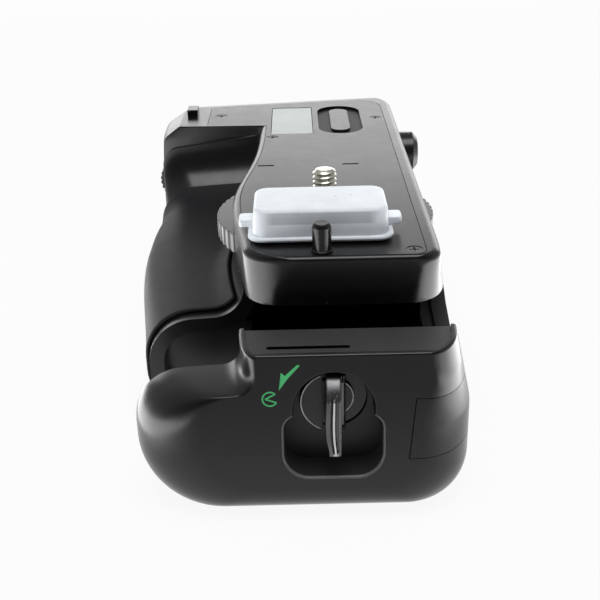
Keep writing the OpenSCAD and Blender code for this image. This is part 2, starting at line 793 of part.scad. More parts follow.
module tray_screws() {
    color("gray")
    translate([0, -tray_out, 0])
        for (x = tray_screw_at) {
            bar_y(x, tray_screw_z, small_r, spigot_y - 4.8, cradle_y + wall + 0.5);
            difference() {
                bar_y(x, tray_screw_z, small_head, cradle_y + wall + touch, cradle_y + wall + 1.2);
                box([x - driver / 5, cradle_y + wall + 0.7, tray_screw_z - 2],
                    [x + driver / 5, cradle_y + wall + 3, tray_screw_z + 2]);
            }
        }
}

module latch_knob() {
    color("dimgray")
    translate([knob_x, knob_y - tray_out, knob_z])
    difference() {
        union() {
            bar_y(0, 0, knob_r, 0, 2);
            bar_y(0, 0, shaft_r, 0, shaft_y - knob_y);
            difference() {
                bar_y(0, 0, knob_r, -moon_t, 1);
                box([-2.5, -9, -20], [20, 9, 20]);
            }
            for (s = [-1, 1])
                translate([0, 0, s * ear_z - ear_t / 2]) {
                    box([hinge_u - 0.9, -hinge_w, 0], [hinge_u + 0.9, 1, ear_t]);
                    translate([hinge_u, -hinge_w, 0]) cylinder(r = barrel_r, h = ear_t);
                }
        }
        difference() {
            bar_y(0, 0, knob_r + 1, -cut, 0.8);
            bar_y(0, 0, hub_r, -1, 2);
            box([-20, -9, -20], [-2.3, 9, 20]);
            for (s = [-1, 1])
                translate([hinge_u - 0.9, -9, s * ear_z - ear_t / 2]) cube([1.8, 18, ear_t]);
        }
        translate([hinge_u, -hinge_w, -20]) cylinder(r = key_pin_r + touch, h = 40);
        bar_y(0, 0, 0.8 + touch, shaft_y - knob_y - 5, shaft_y - knob_y + 1);
    }
}

module latch_cam() {
    color("silver")
    translate([knob_x, spigot_y + 0.4 - tray_out, knob_z])
    difference() {
        union() {
            panel_y(0, cam_t) slab2d([-cam_long, -cam_w], [cam_short, cam_w], cam_w - 0.1);
            bar_y(0, 0, shaft_r + 1.6, 0, cam_t);
        }
        bar_y(0, 0, shaft_r + touch, -1, cam_t + 1);
    }
}

module cam_screw() {
    color("gray")
    translate([knob_x, shaft_y - tray_out, knob_z]) {
        bar_y(0, 0, 0.8, -4.8, 0.2);
        difference() {
            bar_y(0, 0, 3.6, touch, 1);
            box([-3, 0.6, -0.3], [3, 2, 0.3]);
        }
    }
}

// Outline of the key: reach from the hinge across, length along the hinge up
module key2d() {
    intersection() {
        translate([-hinge_u, 0]) circle(key_r);
        translate([-1.6, -8]) square([key_reach + 1.6, 15.6]);
    }
    slab2d([-1.6, -8.2], [key_reach, 0], 1.2);
    slab2d([4.6, -10.2], [key_reach, -5], 0.6);
}

module latch_key() {
    color("silver")
    translate([knob_x + hinge_u, knob_y - hinge_w - tray_out, knob_z])
    difference() {
        union() {
            difference() {
                rotate([0, 0, -90]) rotate([90, 0, 0]) linear_extrude(key_t) key2d();
                for (s = [-1, 1])
                    box([-1.5, -1.5, s * ear_z - ear_t / 2 - gap], [1, 9, s * ear_z + ear_t / 2 + gap]);
                box([-key_t / 2 - 0.4, -30, -30], [-key_t / 2 + 0.4, -key_reach + 0.8, 30]);
            }
            bar_z(0, 0, barrel_r, -ear_z + 0.9, ear_z - 0.9);
        }
        bar_z(0, 0, key_pin_r + run, -9, 9);
    }
}

module key_pin() {
    color("silver")
    translate([knob_x + hinge_u, knob_y - hinge_w - tray_out, knob_z])
        bar_z(0, 0, key_pin_r, -6.6, 6.6);
}

main_housing();
top_plate();
plate_screws();
label_plate();
grip_rubber();
thumb_rubber();
base_plate();
base_screws();
tripod_socket();
contact_block();
signal_pins();
guide_pin();
contact_cap();
attachment_wheel();
attachment_screw();
retaining_ring();
main_board();
chamber_contacts();
shutter_button();
lock_collar();
front_dial();
front_axle();
rear_dial();
rear_axle();
pad_gimbal();
direction_pad();
focus_button();
tray_end_cap();
tray_cradle();
tray_contacts();
tray_screws();
latch_knob();
latch_cam();
cam_screw();
latch_key();
key_pin();
cable_flap();
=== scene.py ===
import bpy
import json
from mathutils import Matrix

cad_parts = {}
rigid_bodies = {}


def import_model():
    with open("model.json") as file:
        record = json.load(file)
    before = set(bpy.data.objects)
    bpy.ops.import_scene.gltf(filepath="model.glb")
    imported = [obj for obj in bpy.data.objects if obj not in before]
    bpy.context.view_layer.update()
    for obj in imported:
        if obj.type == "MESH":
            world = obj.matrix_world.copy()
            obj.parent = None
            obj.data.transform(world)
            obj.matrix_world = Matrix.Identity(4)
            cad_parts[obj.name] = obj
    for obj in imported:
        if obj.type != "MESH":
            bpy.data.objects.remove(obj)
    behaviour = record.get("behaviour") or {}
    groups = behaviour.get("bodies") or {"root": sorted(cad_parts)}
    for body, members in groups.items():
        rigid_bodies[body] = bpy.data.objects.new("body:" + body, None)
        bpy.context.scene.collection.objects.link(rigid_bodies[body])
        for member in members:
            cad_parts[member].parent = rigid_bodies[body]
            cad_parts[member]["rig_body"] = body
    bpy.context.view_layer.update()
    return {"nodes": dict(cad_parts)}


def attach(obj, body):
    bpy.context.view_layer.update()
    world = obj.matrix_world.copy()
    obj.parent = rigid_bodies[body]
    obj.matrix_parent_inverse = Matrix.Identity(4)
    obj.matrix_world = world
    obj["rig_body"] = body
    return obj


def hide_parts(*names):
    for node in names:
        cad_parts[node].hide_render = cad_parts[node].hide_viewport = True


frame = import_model()

import cmath
import json
import math

import bpy
from mathutils import Matrix, Vector

bl_info = {
    "name": "Camera battery grip",
    "version": (1, 0, 0),
    "blender": (4, 5, 0),
    "location": "3D View > Sidebar > Battery grip",
    "description": "Models and finishes the pieces of a camera battery grip and sets up its studio",
    "category": "Object",
}

MM = 0.001
ARC = 14  # steps round each corner of a section
SIDE = 3  # points added on each straight side of a section
TOUCH = 0.02  # clearance of pieces that touch
GAP = 0.3  # clearance of pieces that move
OVER = 1  # how far a cutting tool runs past a face
BEAD = 0.17  # radius of the beads on the latch knob


def length(label, size, about):
    return bpy.props.FloatProperty(
        name=label, description=about, default=size * MM, unit="LENGTH", precision=4)


def colour(label, value, about):
    return bpy.props.FloatVectorProperty(
        name=label, description=about, default=value, size=3, subtype="COLOR", min=0, max=1)


def share(label, value, about):
    return bpy.props.FloatProperty(
        name=label, description=about, default=value, min=0, max=1, subtype="FACTOR")


def glow(label, value, about):
    return bpy.props.FloatProperty(name=label, description=about, default=value, min=0, soft_max=20)


class GripBody(bpy.types.PropertyGroup):
    near_len: length("Near length", 48, "From the tripod axis to the tray end")
    far_len: length("Far length", 102, "From the tripod axis to the shutter end")
    body_h: length("Height", 51.5, "From the base to the deck")
    grip_x: length("Handgrip reach", 42.4, "From the axis to the handgrip's front at the mouth")
    grip_swell: length("Handgrip swell", 7.6, "Growth of the handgrip beyond the mouth")
    waist: length("Waist", 1.6, "Hollow of the handgrip before the far block")
    grip_h: length("Handgrip height", 29.5, "From the base to the handgrip's shoulder")
    back_x: length("Back reach", 32.5, "From the axis to the back")
    seat_x: length("Seat back", 27.2, "From the axis to the seat's back edge")
    seat_front: length("Seat front", 16.8, "From the axis to the seat's front edge")
    seat_swell: length("Seat swell", 5.4, "Bulge of the seat's front edge")
    far_y: length("Far block", 64, "Where the far block starts")
    far_slant: length("Far slant", 10, "Slant of the far end across the width")
    far_seat: length("Far seat", 43, "From the axis to the far block's upper edge")
    deck_wing: length("Deck wing", 36, "From the axis to the deck plate's far side")
    block_h: length("Upper block", 11.7, "Height of the block over the tray")
    rubber_t: length("Rubber", 1.1, "Thickness of the rubber skin")


class GripTray(bpy.types.PropertyGroup):
    tray_out: length("Tray travel", 24, "How far the tray is drawn at rest")
    cap_depth: length("Cap depth", 14, "Length of the end cap")
    cap_lean: length("Cap lean", 3.4, "Lean of the end cap's face")
    knob_x: length("Latch offset", 1.5, "From the axis to the latch")
    knob_z: length("Latch height", 26.6, "From the base to the latch axis")
    knob_r: length("Latch radius", 7.2, "Radius of the latch knob")
    recess_d: length("Recess depth", 6.4, "Depth of the latch recess")
    key_t: length("Key thickness", 3.2, "Thickness of the fold-out key")
    key_reach: length("Key reach", 6.2, "From the hinge to the key's edge")


class GripFittings(bpy.types.PropertyGroup):
    axis_x: length("Screw offset", 2, "From the tripod axis to the attachment screw")
    wheel_r: length("Wheel radius", 28.8, "Radius of the attachment wheel")
    wheel_t: length("Wheel thickness", 5, "Thickness of the attachment wheel")
    wheel_z: length("Wheel height", 40.2, "From the base to the wheel")
    screw_r: length("Screw radius", 3.175, "Radius of the quarter-inch thread")
    screw_h: length("Screw height", 5.4, "Thread above the deck")
    pin_r: length("Guide pin radius", 2.2, "Radius of the guide pin")
    cap_w: length("Cover width", 32, "Width of the clear cover")
    cap_h: length("Cover height", 8, "Height of the clear cover")
    button_r: length("Shutter radius", 5, "Radius of the shutter button")
    button_x: length("Shutter offset", -33, "From the axis to the shutter button")
    button_z: length("Shutter height", 27, "From the base to the shutter button")
    dial_r: length("Dial radius", 7.6, "Radius of the command dials")
    dial_w: length("Dial width", 5, "Width of the command dials")
    pad_r: length("Pad radius", 6.4, "Radius of the direction pad")
    pad_x: length("Pad pivot", 23.5, "From the axis to the pad's pivot")
    pad_z: length("Pad height", 41.3, "From the base to the pad's axis")
    focus_r: length("Focus radius", 3.6, "Radius of the focus button")


class GripFinish(bpy.types.PropertyGroup):
    plastic: colour("Plastic", (0.0052, 0.0050, 0.0052), "Moulded body plastic")
    rubber: colour("Rubber", (0.012, 0.0118, 0.0138), "Grip rubber")
    mark: colour("Mark", (0.075, 0.56, 0.19), "Printed latch mark")
    cover: colour("Cover", (0.87, 0.92, 0.97), "Milky cover plastic")
    label: colour("Label", (0.37, 0.42, 0.41), "Blank label film")
    dust: share("Dust", 0.35, "Amount of pale dust specks")


class GripStudio(bpy.types.PropertyGroup):
    ambient: share("Ambient", 0.38, "Soft light from all round")
    front_dark: share("Dark front", 0.10, "Brightness of the room in front of the object")
    floor_white: share("White floor", 0.92, "How far the floor is lifted to white for the camera")
    top_level: glow("Top lamp", 4.2, "Brightness of the soft lamp overhead")
    back_level: glow("Back lamp", 2.0, "Brightness of the wide soft lamp behind")
    side_level: glow("Side panels", 3.4, "Brightness of the panels lying on the table at both sides")


def mix(a, b, t):
    return a + (b - a) * t


def smooth(a, b, v):
    t = min(1, max(0, (v - a) / (b - a)))
    return t * t * (3 - 2 * t)


def bell(centre, width, v):
    return math.exp(-((v - centre) / width) ** 2)


def ease(r, deep, d):
    """Fall of a rounded edge of radius r at a distance d from its end."""
    return 0 if d >= deep else r * (1 - math.sqrt(1 - (1 - max(d, 0) / deep) ** 2))


def corner(a, b, c, r, t, steps):
    """Points of the rounded corner at b, moved out by t."""
    u, v = (a - b) / abs(a - b), (c - b) / abs(c - b)
    half = abs(cmath.phase(v / u)) / 2
    s = min(r, 0.49 * min(abs(a - b), abs(c - b)) * math.tan(half))
    turn = 1 if ((b - a).conjugate() * (c - b)).imag > 0 else -1
    mid = b + (u + v) / abs(u + v) * s / math.sin(half)
    p, q = b + u * s / math.tan(half) - mid, b + v * s / math.tan(half) - mid
    sweep = cmath.phase(q / p)
    out = max(0.1, s + turn * t)
    return [mid + out * p / abs(p) * cmath.exp(1j * sweep * i / steps) for i in range(steps + 1)]


def rounded(corners, t=0.0, steps=ARC, side=0):
    """Closed line through corners of x, y and radius, with side points added on each straight."""
    n = len(corners)
    spots = [complex(x, y) for x, y, r in corners]
    runs = [corner(spots[i - 1], spots[i], spots[(i + 1) % n], corners[i][2], t, steps) for i in range(n)]
    line = []
    for run, following in zip(runs, runs[1:] + runs[:1]):
        line += run + [mix(run[-1], following[0], k / (side + 1)) for k in range(1, side + 1)]
    return line


def slab_line(low, high, r, steps=8):
    return rounded([(low[0], low[1], r), (high[0], low[1], r), (high[0], high[1], r), (low[0], high[1], r)],
                   steps=steps)


def sweep_steps(count):
    return [math.pi / 2 * i / count for i in range(count + 1)]


class Plan:
    """Lengths in millimetres: the panel's sizes and what follows from them, as in the frame."""

    def __init__(self):
        scene = bpy.context.scene
        for group in (scene.grip_body, scene.grip_tray, scene.grip_fittings):
            for key in type(group).__annotations__:
                setattr(self, key, round(getattr(group, key) / MM, 4))
        self.shape_section()
        self.place_rooms()
        self.place_latch()
        self.place_fittings()

    def shape_section(self):
        """Radii and heights that the sections of body and end cap share, and the far end's form."""
        self.toe_r, self.heel_r, self.shoulder_r, self.hollow_r = 17, 10, 12, 8
        self.back_z, self.back_r, self.neck_z, self.neck_r = 22, 12, 33, 10
        self.scoop, self.far_step, self.far_r = 18, 1.2, 12
        self.width = self.seat_x + self.grip_x + self.grip_swell

    def place_rooms(self):
        self.ledge_z = self.body_h - self.block_h
        self.lid_z = self.ledge_z - GAP
        self.mouth_y = self.cap_depth - self.near_len
        self.front_y = 0.4 - self.near_len
        self.plate_z = self.body_h - 1.5
        self.spigot_y = self.mouth_y + 4.4
        self.room_floor, self.room_step, self.room_top = 6.6, 30.0, 36.6
        self.room_front, self.room_in, self.room_back, self.room_end = -18.7, -14.8, 24.7, 55.6
        self.board_room = (-29, 66, 9), (16, 80, self.room_top)
        self.base_pocket = (-18.2, -26.2), (18.2, 78.2)

    def place_latch(self):
        self.face_y = self.front_y - self.cap_lean * (1 - self.knob_z / self.lid_z)
        self.floor_y = self.face_y + self.recess_d
        self.knob_y = self.floor_y - 0.4 - self.tray_out
        self.hub_r, self.moon_t = 4.5, 2.2
        self.hinge_x, self.hinge_y = self.knob_x + 1.5, self.knob_y - 2
        self.ear_z, self.ear_half = 6.1, 0.75
        self.cam_room = ((self.knob_x - 8.6, self.spigot_y - 0.4, self.room_top - 1),
                         (self.knob_x + 4, self.spigot_y + 4.2, 38.6))

    def place_fittings(self):
        self.screw_axis = (self.axis_x, 0)
        self.connector_y = 17.5 - self.near_len
        self.cover_gap = 0.5
        self.connector_pocket = (-15.2, self.connector_y - 6.7), (15.2, self.connector_y + 6.7)
        self.guide_y = 4 - self.near_len
        self.pad_y = self.far_y + 2
        self.focus_y, self.focus_z = self.far_y + 14, 36.0
        self.rear_dial = (self.seat_x + 4.2 - self.dial_r, 38.0, self.far_y + 20.8)
        self.front_dial = (-43.8, 31.0, self.far_y + 9)
        self.button = (self.button_x, self.button_z)
        self.button_y = self.far_len - self.far_slant * (self.seat_x - self.button_x) / self.width + 0.8
        self.lug = (-41.4, self.far_y + 14, self.body_h - 8), (-38, self.far_y + 20, self.body_h + 2)
        self.small_screw = 1 + TOUCH
        self.plate_screws = [
            (self.seat_x - 6.2, 4 - self.near_len), (self.seat_x - 6.4, self.far_y + 7),
            (4.2 - self.seat_front, self.far_y - 14), (6 - self.deck_wing, self.far_y + 13)]
        self.base_screws = [(x, y) for x in (-14, 14) for y in (-22, 74)]
        self.tray_screws = (self.room_front + 3.6, self.room_back - 3.6)
        self.contacts = (-12, 6)

    def front_x(self, y):
        swell = self.grip_swell * smooth(self.mouth_y - 12, 28, y)
        return -self.grip_x - swell + self.waist * bell(self.far_y - 7, 11, y)

    def seat_edge(self, y):
        return -self.seat_front - self.seat_swell * bell(-6, 30, y)

    def body_corners(self, y):
        """Corners of the section at y, which scoops up into the far block."""
        along = min(1, max(0, (y - self.far_y) / self.scoop + 1))
        rise = 1 - math.sqrt(1 - along * along)
        far = smooth(self.far_y, self.far_y + self.far_step, y)
        d = y + self.near_len
        front = self.front_x(y)
        seat = self.seat_edge(y) + ease(12, 8.5, d)
        hollow = self.seat_edge(y) + 0.5 + ease(5, 7, d)
        seat_back = self.seat_x - ease(5, 5, d)
        neck = self.seat_x + 3 - ease(13, self.cap_depth, d)
        top = self.body_h - ease(1.2, 1.2, d)
        return [
            (front, 0, self.toe_r), (self.back_x, 0, self.heel_r), (self.back_x, self.back_z, self.back_r),
            (neck, self.neck_z, self.neck_r), (seat_back, top, 2), (mix(seat, -self.far_seat, far), top, 2),
            (mix(hollow, front + 0.8, far), mix(self.grip_h + 1.5 + rise * 17.5, self.body_h - 4, far),
             mix(self.hollow_r - 6 * rise, 4, far)),
            (front, mix(self.grip_h + rise * 14.5, self.grip_h + 6.5, far), self.shoulder_r - 6 * rise)]

    def body_place(self, p, y):
        """Point of a section, drawn in toward the far end's rounded edge and set on its slant."""
        d = self.far_len - y
        x = -8 + (p.real + 8) * (1 - ease(self.far_r, self.far_r, d) / 40)
        z = 26 + (p.imag - 26) * (1 - ease(4, 4, d) / 26)
        across = (self.seat_x - x) / self.width
        return x, y - self.far_slant * smooth(self.far_y + 2, self.far_len, y) * across, z

    def body_ring(self, y, t=0.0):
        return [self.body_place(p, y) for p in rounded(self.body_corners(y), t, ARC, SIDE)]

    def body_stations(self):
        near, mouth, far = -self.near_len, self.mouth_y, self.far_y
        line = [near + self.cap_depth * (1 - math.cos(a)) for a in sweep_steps(24)]
        line += [mix(mouth, far - self.scoop, i / 26) for i in range(1, 27)]
        line += [far - self.scoop + self.scoop * math.sin(a) for a in sweep_steps(18)[1:]]
        line += [far + self.far_step * i / 8 for i in range(1, 9)]
        line += [mix(far + self.far_step, self.far_len - self.far_r, i / 12) for i in range(1, 13)]
        return line + [self.far_len - self.far_r * (1 - math.sin(a)) for a in sweep_steps(18)[1:]]

    def cap_corners(self, y):
        """Corners of the end cap's section at y, before the tray is drawn out."""
        d = y - self.front_y
        front = self.front_x(self.mouth_y) + ease(17, self.cap_depth, d)
        seat = self.seat_edge(self.mouth_y) + ease(4, self.cap_depth, d)
        back = self.back_x - ease(13, self.cap_depth, d)
        seat_back = self.seat_x + 1.6 - ease(7.6, self.cap_depth, d)
        foot, top = ease(8, 8, d), self.lid_z - ease(0.5, 0.5, d)
        return [
            (front, foot, self.toe_r), (back, foot, self.heel_r), (back, self.back_z, self.back_r),
            (seat_back + 1.4, self.neck_z, self.neck_r), (seat_back, top, 0.8), (seat + 0.3, top, 0.8),
            (seat + 0.5, self.grip_h + 1.5, self.hollow_r), (front, self.grip_h, self.shoulder_r)]

    def cap_face(self, z, y=None):
        """Place along Y of the leaning cap at height z, with the tray drawn out."""
        y = self.front_y if y is None else y
        lean = self.cap_lean * (1 - z / self.lid_z) * min(1, max(0, 1 - (y - self.front_y) / self.cap_depth))
        return y - lean - self.tray_out

    def cap_rings(self):
        last = math.acos(0.7 / self.cap_depth)
        rings = []
        for i in range(25):
            y = self.front_y + self.cap_depth * (1 - math.cos(last * i / 24))
            line = rounded(self.cap_corners(y), 0, ARC, SIDE)
            rings.append([(p.real, self.cap_face(p.imag, y), p.imag) for p in line])
        return rings

    def mouth_line(self, t, top):
        """Section of the mouth drawn in by t and cut level at top."""
        line = rounded(self.body_corners(self.mouth_y), -t, ARC)
        return level(line, t, top)

    def seat_line(self, t, near_r=2.6, far_r=8, bow=12, bow_d=8.5):
        """Outline of the deck's seat drawn in by t, bowed at its near front corner."""
        near, back = t - 1 - self.near_len, self.far_len - 6 - t
        turn, right, left = near + bow_d, self.seat_x - t - 1.4, back - self.far_slant * 0.72
        wing, start = t - self.deck_wing, self.seat_edge(turn) + t
        line = []
        for i in range(49):
            y = mix(turn, self.far_y, i / 48)
            line.append(complex(self.seat_edge(y) + t, y))
        line += [complex(wing, self.far_y + t), complex(wing, left), complex(wing + 3, left + 1.6)]
        turns = sweep_steps(12)
        far, close = complex(right - far_r, back - far_r), complex(right - near_r, near + near_r)
        line += [far + cmath.rect(far_r, math.pi / 2 - a) for a in turns]
        line += [close + cmath.rect(near_r, -a) for a in turns]
        bend = [complex(bow * (1 - math.sin(a)), -bow_d * math.cos(a)) for a in turns[:-1]]
        return line + [complex(start, turn) + point for point in bend]


def level(line, low, high):
    """Closed line kept between two heights."""
    kept = []
    for a, b in zip(line, line[1:] + line[:1]):
        if low <= a.imag <= high:
            kept.append(a)
        cuts = [(h - a.imag) / (b.imag - a.imag) for h in (low, high) if (a.imag - h) * (b.imag - h) < 0]
        kept += [mix(a, b, t) for t in sorted(cuts)]
    return kept


def settle():
    """Object mode with nothing selected."""
    active = bpy.context.view_layer.objects.active
    if active is not None and active.mode != "OBJECT":
        bpy.ops.object.mode_set(mode="OBJECT")
    bpy.ops.object.select_all(action="DESELECT")


def take(obj):
    settle()
    obj.select_set(True)
    bpy.context.view_layer.objects.active = obj
    return obj


def edit(obj, kind="VERT"):
    take(obj)
    bpy.ops.object.mode_set(mode="EDIT")
    bpy.ops.mesh.select_mode(type=kind)
    bpy.ops.mesh.select_all(action="SELECT")


def leave():
    bpy.ops.object.mode_set(mode="OBJECT")


def named(name):
    obj = bpy.context.object
    obj.name = name
    obj.data.name = name
    return obj


def outward(obj):
    edit(obj)
    bpy.ops.mesh.normals_make_consistent(inside=False)
    leave()
    return obj


def block(name, low, high):
    settle()
    bpy.ops.mesh.primitive_cube_add(
        size=1, location=[(a + b) / 2 * MM for a, b in zip(low, high)],
        scale=[(b - a) * MM for a, b in zip(low, high)])
    bpy.ops.object.transform_apply(location=True, rotation=True, scale=True)
    return named(name)


def rod(name, axis, centre, r, start, stop, sides=72):
    """Round bar along an axis; centre holds its other two coordinates in order."""
    spot = list(centre)
    spot.insert("XYZ".index(axis), (start + stop) / 2)
    turn = {"X": (0, math.pi / 2, 0), "Y": (math.pi / 2, 0, 0), "Z": (0, 0, 0)}[axis]
    settle()
    bpy.ops.mesh.primitive_cylinder_add(
        vertices=sides, radius=r * MM, depth=(stop - start) * MM,
        location=[c * MM for c in spot], rotation=turn)
    bpy.ops.object.transform_apply(location=True, rotation=True, scale=True)
    return named(name)


def prism(name, line, axis, start, stop):
    """Flat outline drawn across an axis and extruded along it."""
    settle()
    bpy.ops.mesh.primitive_circle_add(vertices=len(line), radius=1, fill_type="NGON")
    obj = named(name)
    at = "XYZ".index(axis)
    for vertex, p in zip(obj.data.vertices, line):
        spot = [p.real * MM, p.imag * MM]
        spot.insert(at, start * MM)
        vertex.co = spot
    move = [0, 0, 0]
    move[at] = (stop - start) * MM
    edit(obj, "FACE")
    bpy.ops.mesh.extrude_region_move(TRANSFORM_OT_translate={"value": move})
    leave()
    return outward(obj)


def loft(name, rings, closed=True):
    """Skin through rows of points; closed rows are joined at the seam and filled at both ends."""
    rows = [list(ring) + list(ring[:1]) for ring in rings] if closed else rings
    settle()
    bpy.ops.mesh.primitive_grid_add(x_subdivisions=len(rows[0]) - 1, y_subdivisions=len(rows) - 1, size=1)
    obj = named(name)
    obj.data.vertices.foreach_set("co", [c * MM for row in rows for point in row for c in point])
    obj.data.update()
    edit(obj)
    bpy.ops.mesh.remove_doubles(threshold=1e-7)
    if closed:
        bpy.ops.mesh.select_all(action="SELECT")
        bpy.ops.mesh.fill_holes(sides=0)
    leave()
    return outward(obj)


def apply(obj, kind, **values):
    take(obj)
    modifier = obj.modifiers.new(kind.title(), kind)
    for key, value in values.items():
        setattr(modifier, key, value)
    bpy.ops.object.modifier_apply(modifier=modifier.name)
    return obj


def carve(obj, *tools, how="DIFFERENCE"):
    for tool in tools:
        apply(obj, "BOOLEAN", operation=how, solver="MANIFOLD", object=tool)
        bpy.data.objects.remove(tool)
        if not obj.data.polygons:
            raise RuntimeError(f"{obj.name} is empty after a cut")
    return obj


def round_edges(obj, wanted, width, segments=3, angle=30):
    """Bevels the sharp edges whose ends both lie where wanted says, in millimetres."""
    edit(obj, "EDGE")
    bpy.ops.mesh.select_all(action="DESELECT")
    bpy.ops.mesh.edges_select_sharp(sharpness=math.radians(angle))
    leave()
    inside = [wanted(*(v.co / MM)) for v in obj.data.vertices]
    chosen = 0
    for edge in obj.data.edges:
        edge.select = edge.select and all(inside[i] for i in edge.vertices)
        chosen += edge.select
    if not chosen:
        raise RuntimeError(f"{obj.name} has no such edge")
    bpy.ops.object.mode_set(mode="EDIT")
    bpy.ops.mesh.bevel(offset=width * MM, segments=segments, profile=0.5, affect="EDGES", clamp_overlap=True)
    leave()
    return obj


def soften(obj, width, segments=2, angle=30):
    return apply(obj, "BEVEL", width=width * MM, segments=segments, limit_method="ANGLE",
                 angle_limit=math.radians(angle), use_clamp_overlap=True)


def copy_of(node):
    """Own mesh of a CAD node, joined up and with its flat faces made whole."""
    source = frame["nodes"][node]
    settle()
    obj = bpy.data.objects.new(node + "_piece", source.data.copy())
    bpy.context.scene.collection.objects.link(obj)
    edit(obj)
    bpy.ops.mesh.remove_doubles(threshold=1e-7)
    bpy.ops.mesh.select_all(action="SELECT")
    bpy.ops.mesh.dissolve_limited(angle_limit=math.radians(0.6))
    leave()
    return outward(obj)


def settle_piece(obj, node, slot, angle=32, look=None):
    """Smooths a finished piece and puts it in its node's place with the slot's finish."""
    edit(obj)
    bpy.ops.mesh.remove_doubles(threshold=2e-6)
    bpy.ops.mesh.select_all(action="SELECT")
    bpy.ops.mesh.dissolve_degenerate(threshold=2e-6)
    leave()
    take(obj)
    bpy.ops.object.shade_smooth_by_angle(angle=math.radians(angle))
    apply(obj, "WEIGHTED_NORMAL", keep_sharp=True, weight=60)
    obj.data.materials.clear()
    obj.data.materials.append(bpy.data.materials[look or slot])
    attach(obj, frame["nodes"][node]["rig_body"])
    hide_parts(node)
    return obj


def soft_copy(node, slot, width, segments=2, look=None):
    """A CAD node's own mesh with its edges rounded, settled in the node's place."""
    return settle_piece(soften(copy_of(node), width, segments), node, slot, look=look)


def touch_up(obj, finishes, pick):
    """Adds finishes after the first; pick gives a face's slot from its centre in millimetres and normal."""
    for finish in finishes:
        obj.data.materials.append(bpy.data.materials[finish])
    for face in obj.data.polygons:
        face.material_index = int(pick(*(face.center / MM), face.normal))


class GRIP_OT_finishes(bpy.types.Operator):
    """Makes the procedural finishes"""
    bl_idname = "grip.finishes"
    bl_label = "Finishes"

    def execute(self, context):
        tint = context.scene.grip_finish
        surface_group()
        grain_group()
        brushed_group()
        plastic, dust = tuple(tint.plastic), tint.dust
        # name, colour, roughness, scale and depth of the grain, spread of the sheen, dust
        for row in (("body_plastic", plastic, 0.25, 3200, 0.0012, 0.08, dust),
                    ("plate_plastic", plastic, 0.30, 2600, 0.002, 0.08, dust),
                    ("gloss_shell", plastic, 0.25, 3600, 0.0015, 0.05, dust),
                    ("control_plastic", plastic, 0.26, 4200, 0.002, 0.06, dust),
                    ("flap_rubber", plastic, 0.30, 3000, 0.003, 0.08, dust),
                    # painted light: a lighter copy of the black plastic for the end cap's sunk ledge
                    ("satin_ledge", (0.038, 0.037, 0.038), 0.5, 3000, 0.004, 0.06, dust),
                    # painted light: a lighter copy of the black plastic for the latch recess, lifting its
                    # shade
                    ("satin_pocket", (0.024, 0.0235, 0.024), 0.5, 3000, 0.004, 0.06, dust),
                    # painted highlight: pale plastic for the lower rim of the latch recess
                    ("worn_edge", (0.12, 0.119, 0.12), 0.3, 3600, 0.002, 0.08, dust),
                    ("label_film", tuple(tint.label), 0.3, 1200, 0.004, 0.08, 0.1),
                    ("board", (0.012, 0.055, 0.022), 0.4, 900, 0.01, 0.1, 0.1),
                    ("green_mark", tuple(tint.mark), 0.5, 5000, 0.004, 0.05, 0)):
            moulded(*row)
        moulded("grip_rubber", tuple(tint.rubber), 0.58, 1500, 0.02, 0.10, dust, specular=0.2)
        # painted shade: near-black, dull plastic for the deck's sunk groove floor and the cradle inside the
        # tray
        moulded("dark_inside", (0.004, 0.004, 0.0042), 0.5, 3000, 0.012, 0.06, 0, specular=0.25)
        for name, reflection, rough in (("dark_steel", (0.12, 0.12, 0.125), 0.34),
                                        ("key_steel", (0.15, 0.15, 0.155), 0.38),
                                        # painted highlight: pale metal for the key's rib and the knob's
                                        # beads
                                        ("bright_edge", (0.66, 0.66, 0.67), 0.28),
                                        ("nickel", (0.78, 0.75, 0.66), 0.26),
                                        ("contact_brass", (0.72, 0.52, 0.22), 0.24)):
            metal(name, reflection, rough)
        milky("clear_plastic", tuple(tint.cover))
        return {"FINISHED"}


def new_group(name, inputs, outputs):
    tree = bpy.data.node_groups.new(name, "ShaderNodeTree")
    for label, kind, value in inputs:
        socket = tree.interface.new_socket(label, in_out="INPUT", socket_type=kind)
        socket.default_value = value
    for label, kind in outputs:
        tree.interface.new_socket(label, in_out="OUTPUT", socket_type=kind)
    return tree, tree.nodes.new("NodeGroupInput").outputs, tree.nodes.new("NodeGroupOutput")


def feed(tree, socket, value):
    """Links another node's output to a socket, or sets the socket to a constant."""
    if isinstance(value, bpy.types.NodeSocket):
        tree.links.new(value, socket)
    else:
        socket.default_value = value


def fill(tree, made, **values):
    """Feeds a node's inputs by their names."""
    for key, value in values.items():
        feed(tree, made.inputs[key.replace("_", " ")], value)
    return made


def node(tree, kind, **values):
    """New node; lower-case names set its own settings, other names feed its inputs."""
    made = tree.nodes.new("ShaderNode" + kind)
    for key in [key for key in values if key.islower()]:
        setattr(made, key, values.pop(key))
    return fill(tree, made, **values)


def maths(tree, operation, *terms):
    made = node(tree, "Math", operation=operation)
    for socket, term in zip(made.inputs, terms):
        feed(tree, socket, term)
    return made.outputs[0]


def remap(tree, value, low, high, start=0.0, stop=1.0, curve="LINEAR"):
    made = node(tree, "MapRange", interpolation_type=curve, Value=value, From_Min=low, From_Max=high,
                To_Min=start, To_Max=stop)
    return made.outputs["Result"]


def scaled(tree, tint, factor):
    return node(tree, "VectorMath", operation="SCALE", Vector=tint, Scale=factor).outputs[0]


def parted(tree, place):
    """Outputs X, Y and Z of the texture coordinate named by place."""
    return node(tree, "SeparateXYZ", Vector=node(tree, "TexCoord").outputs[place]).outputs


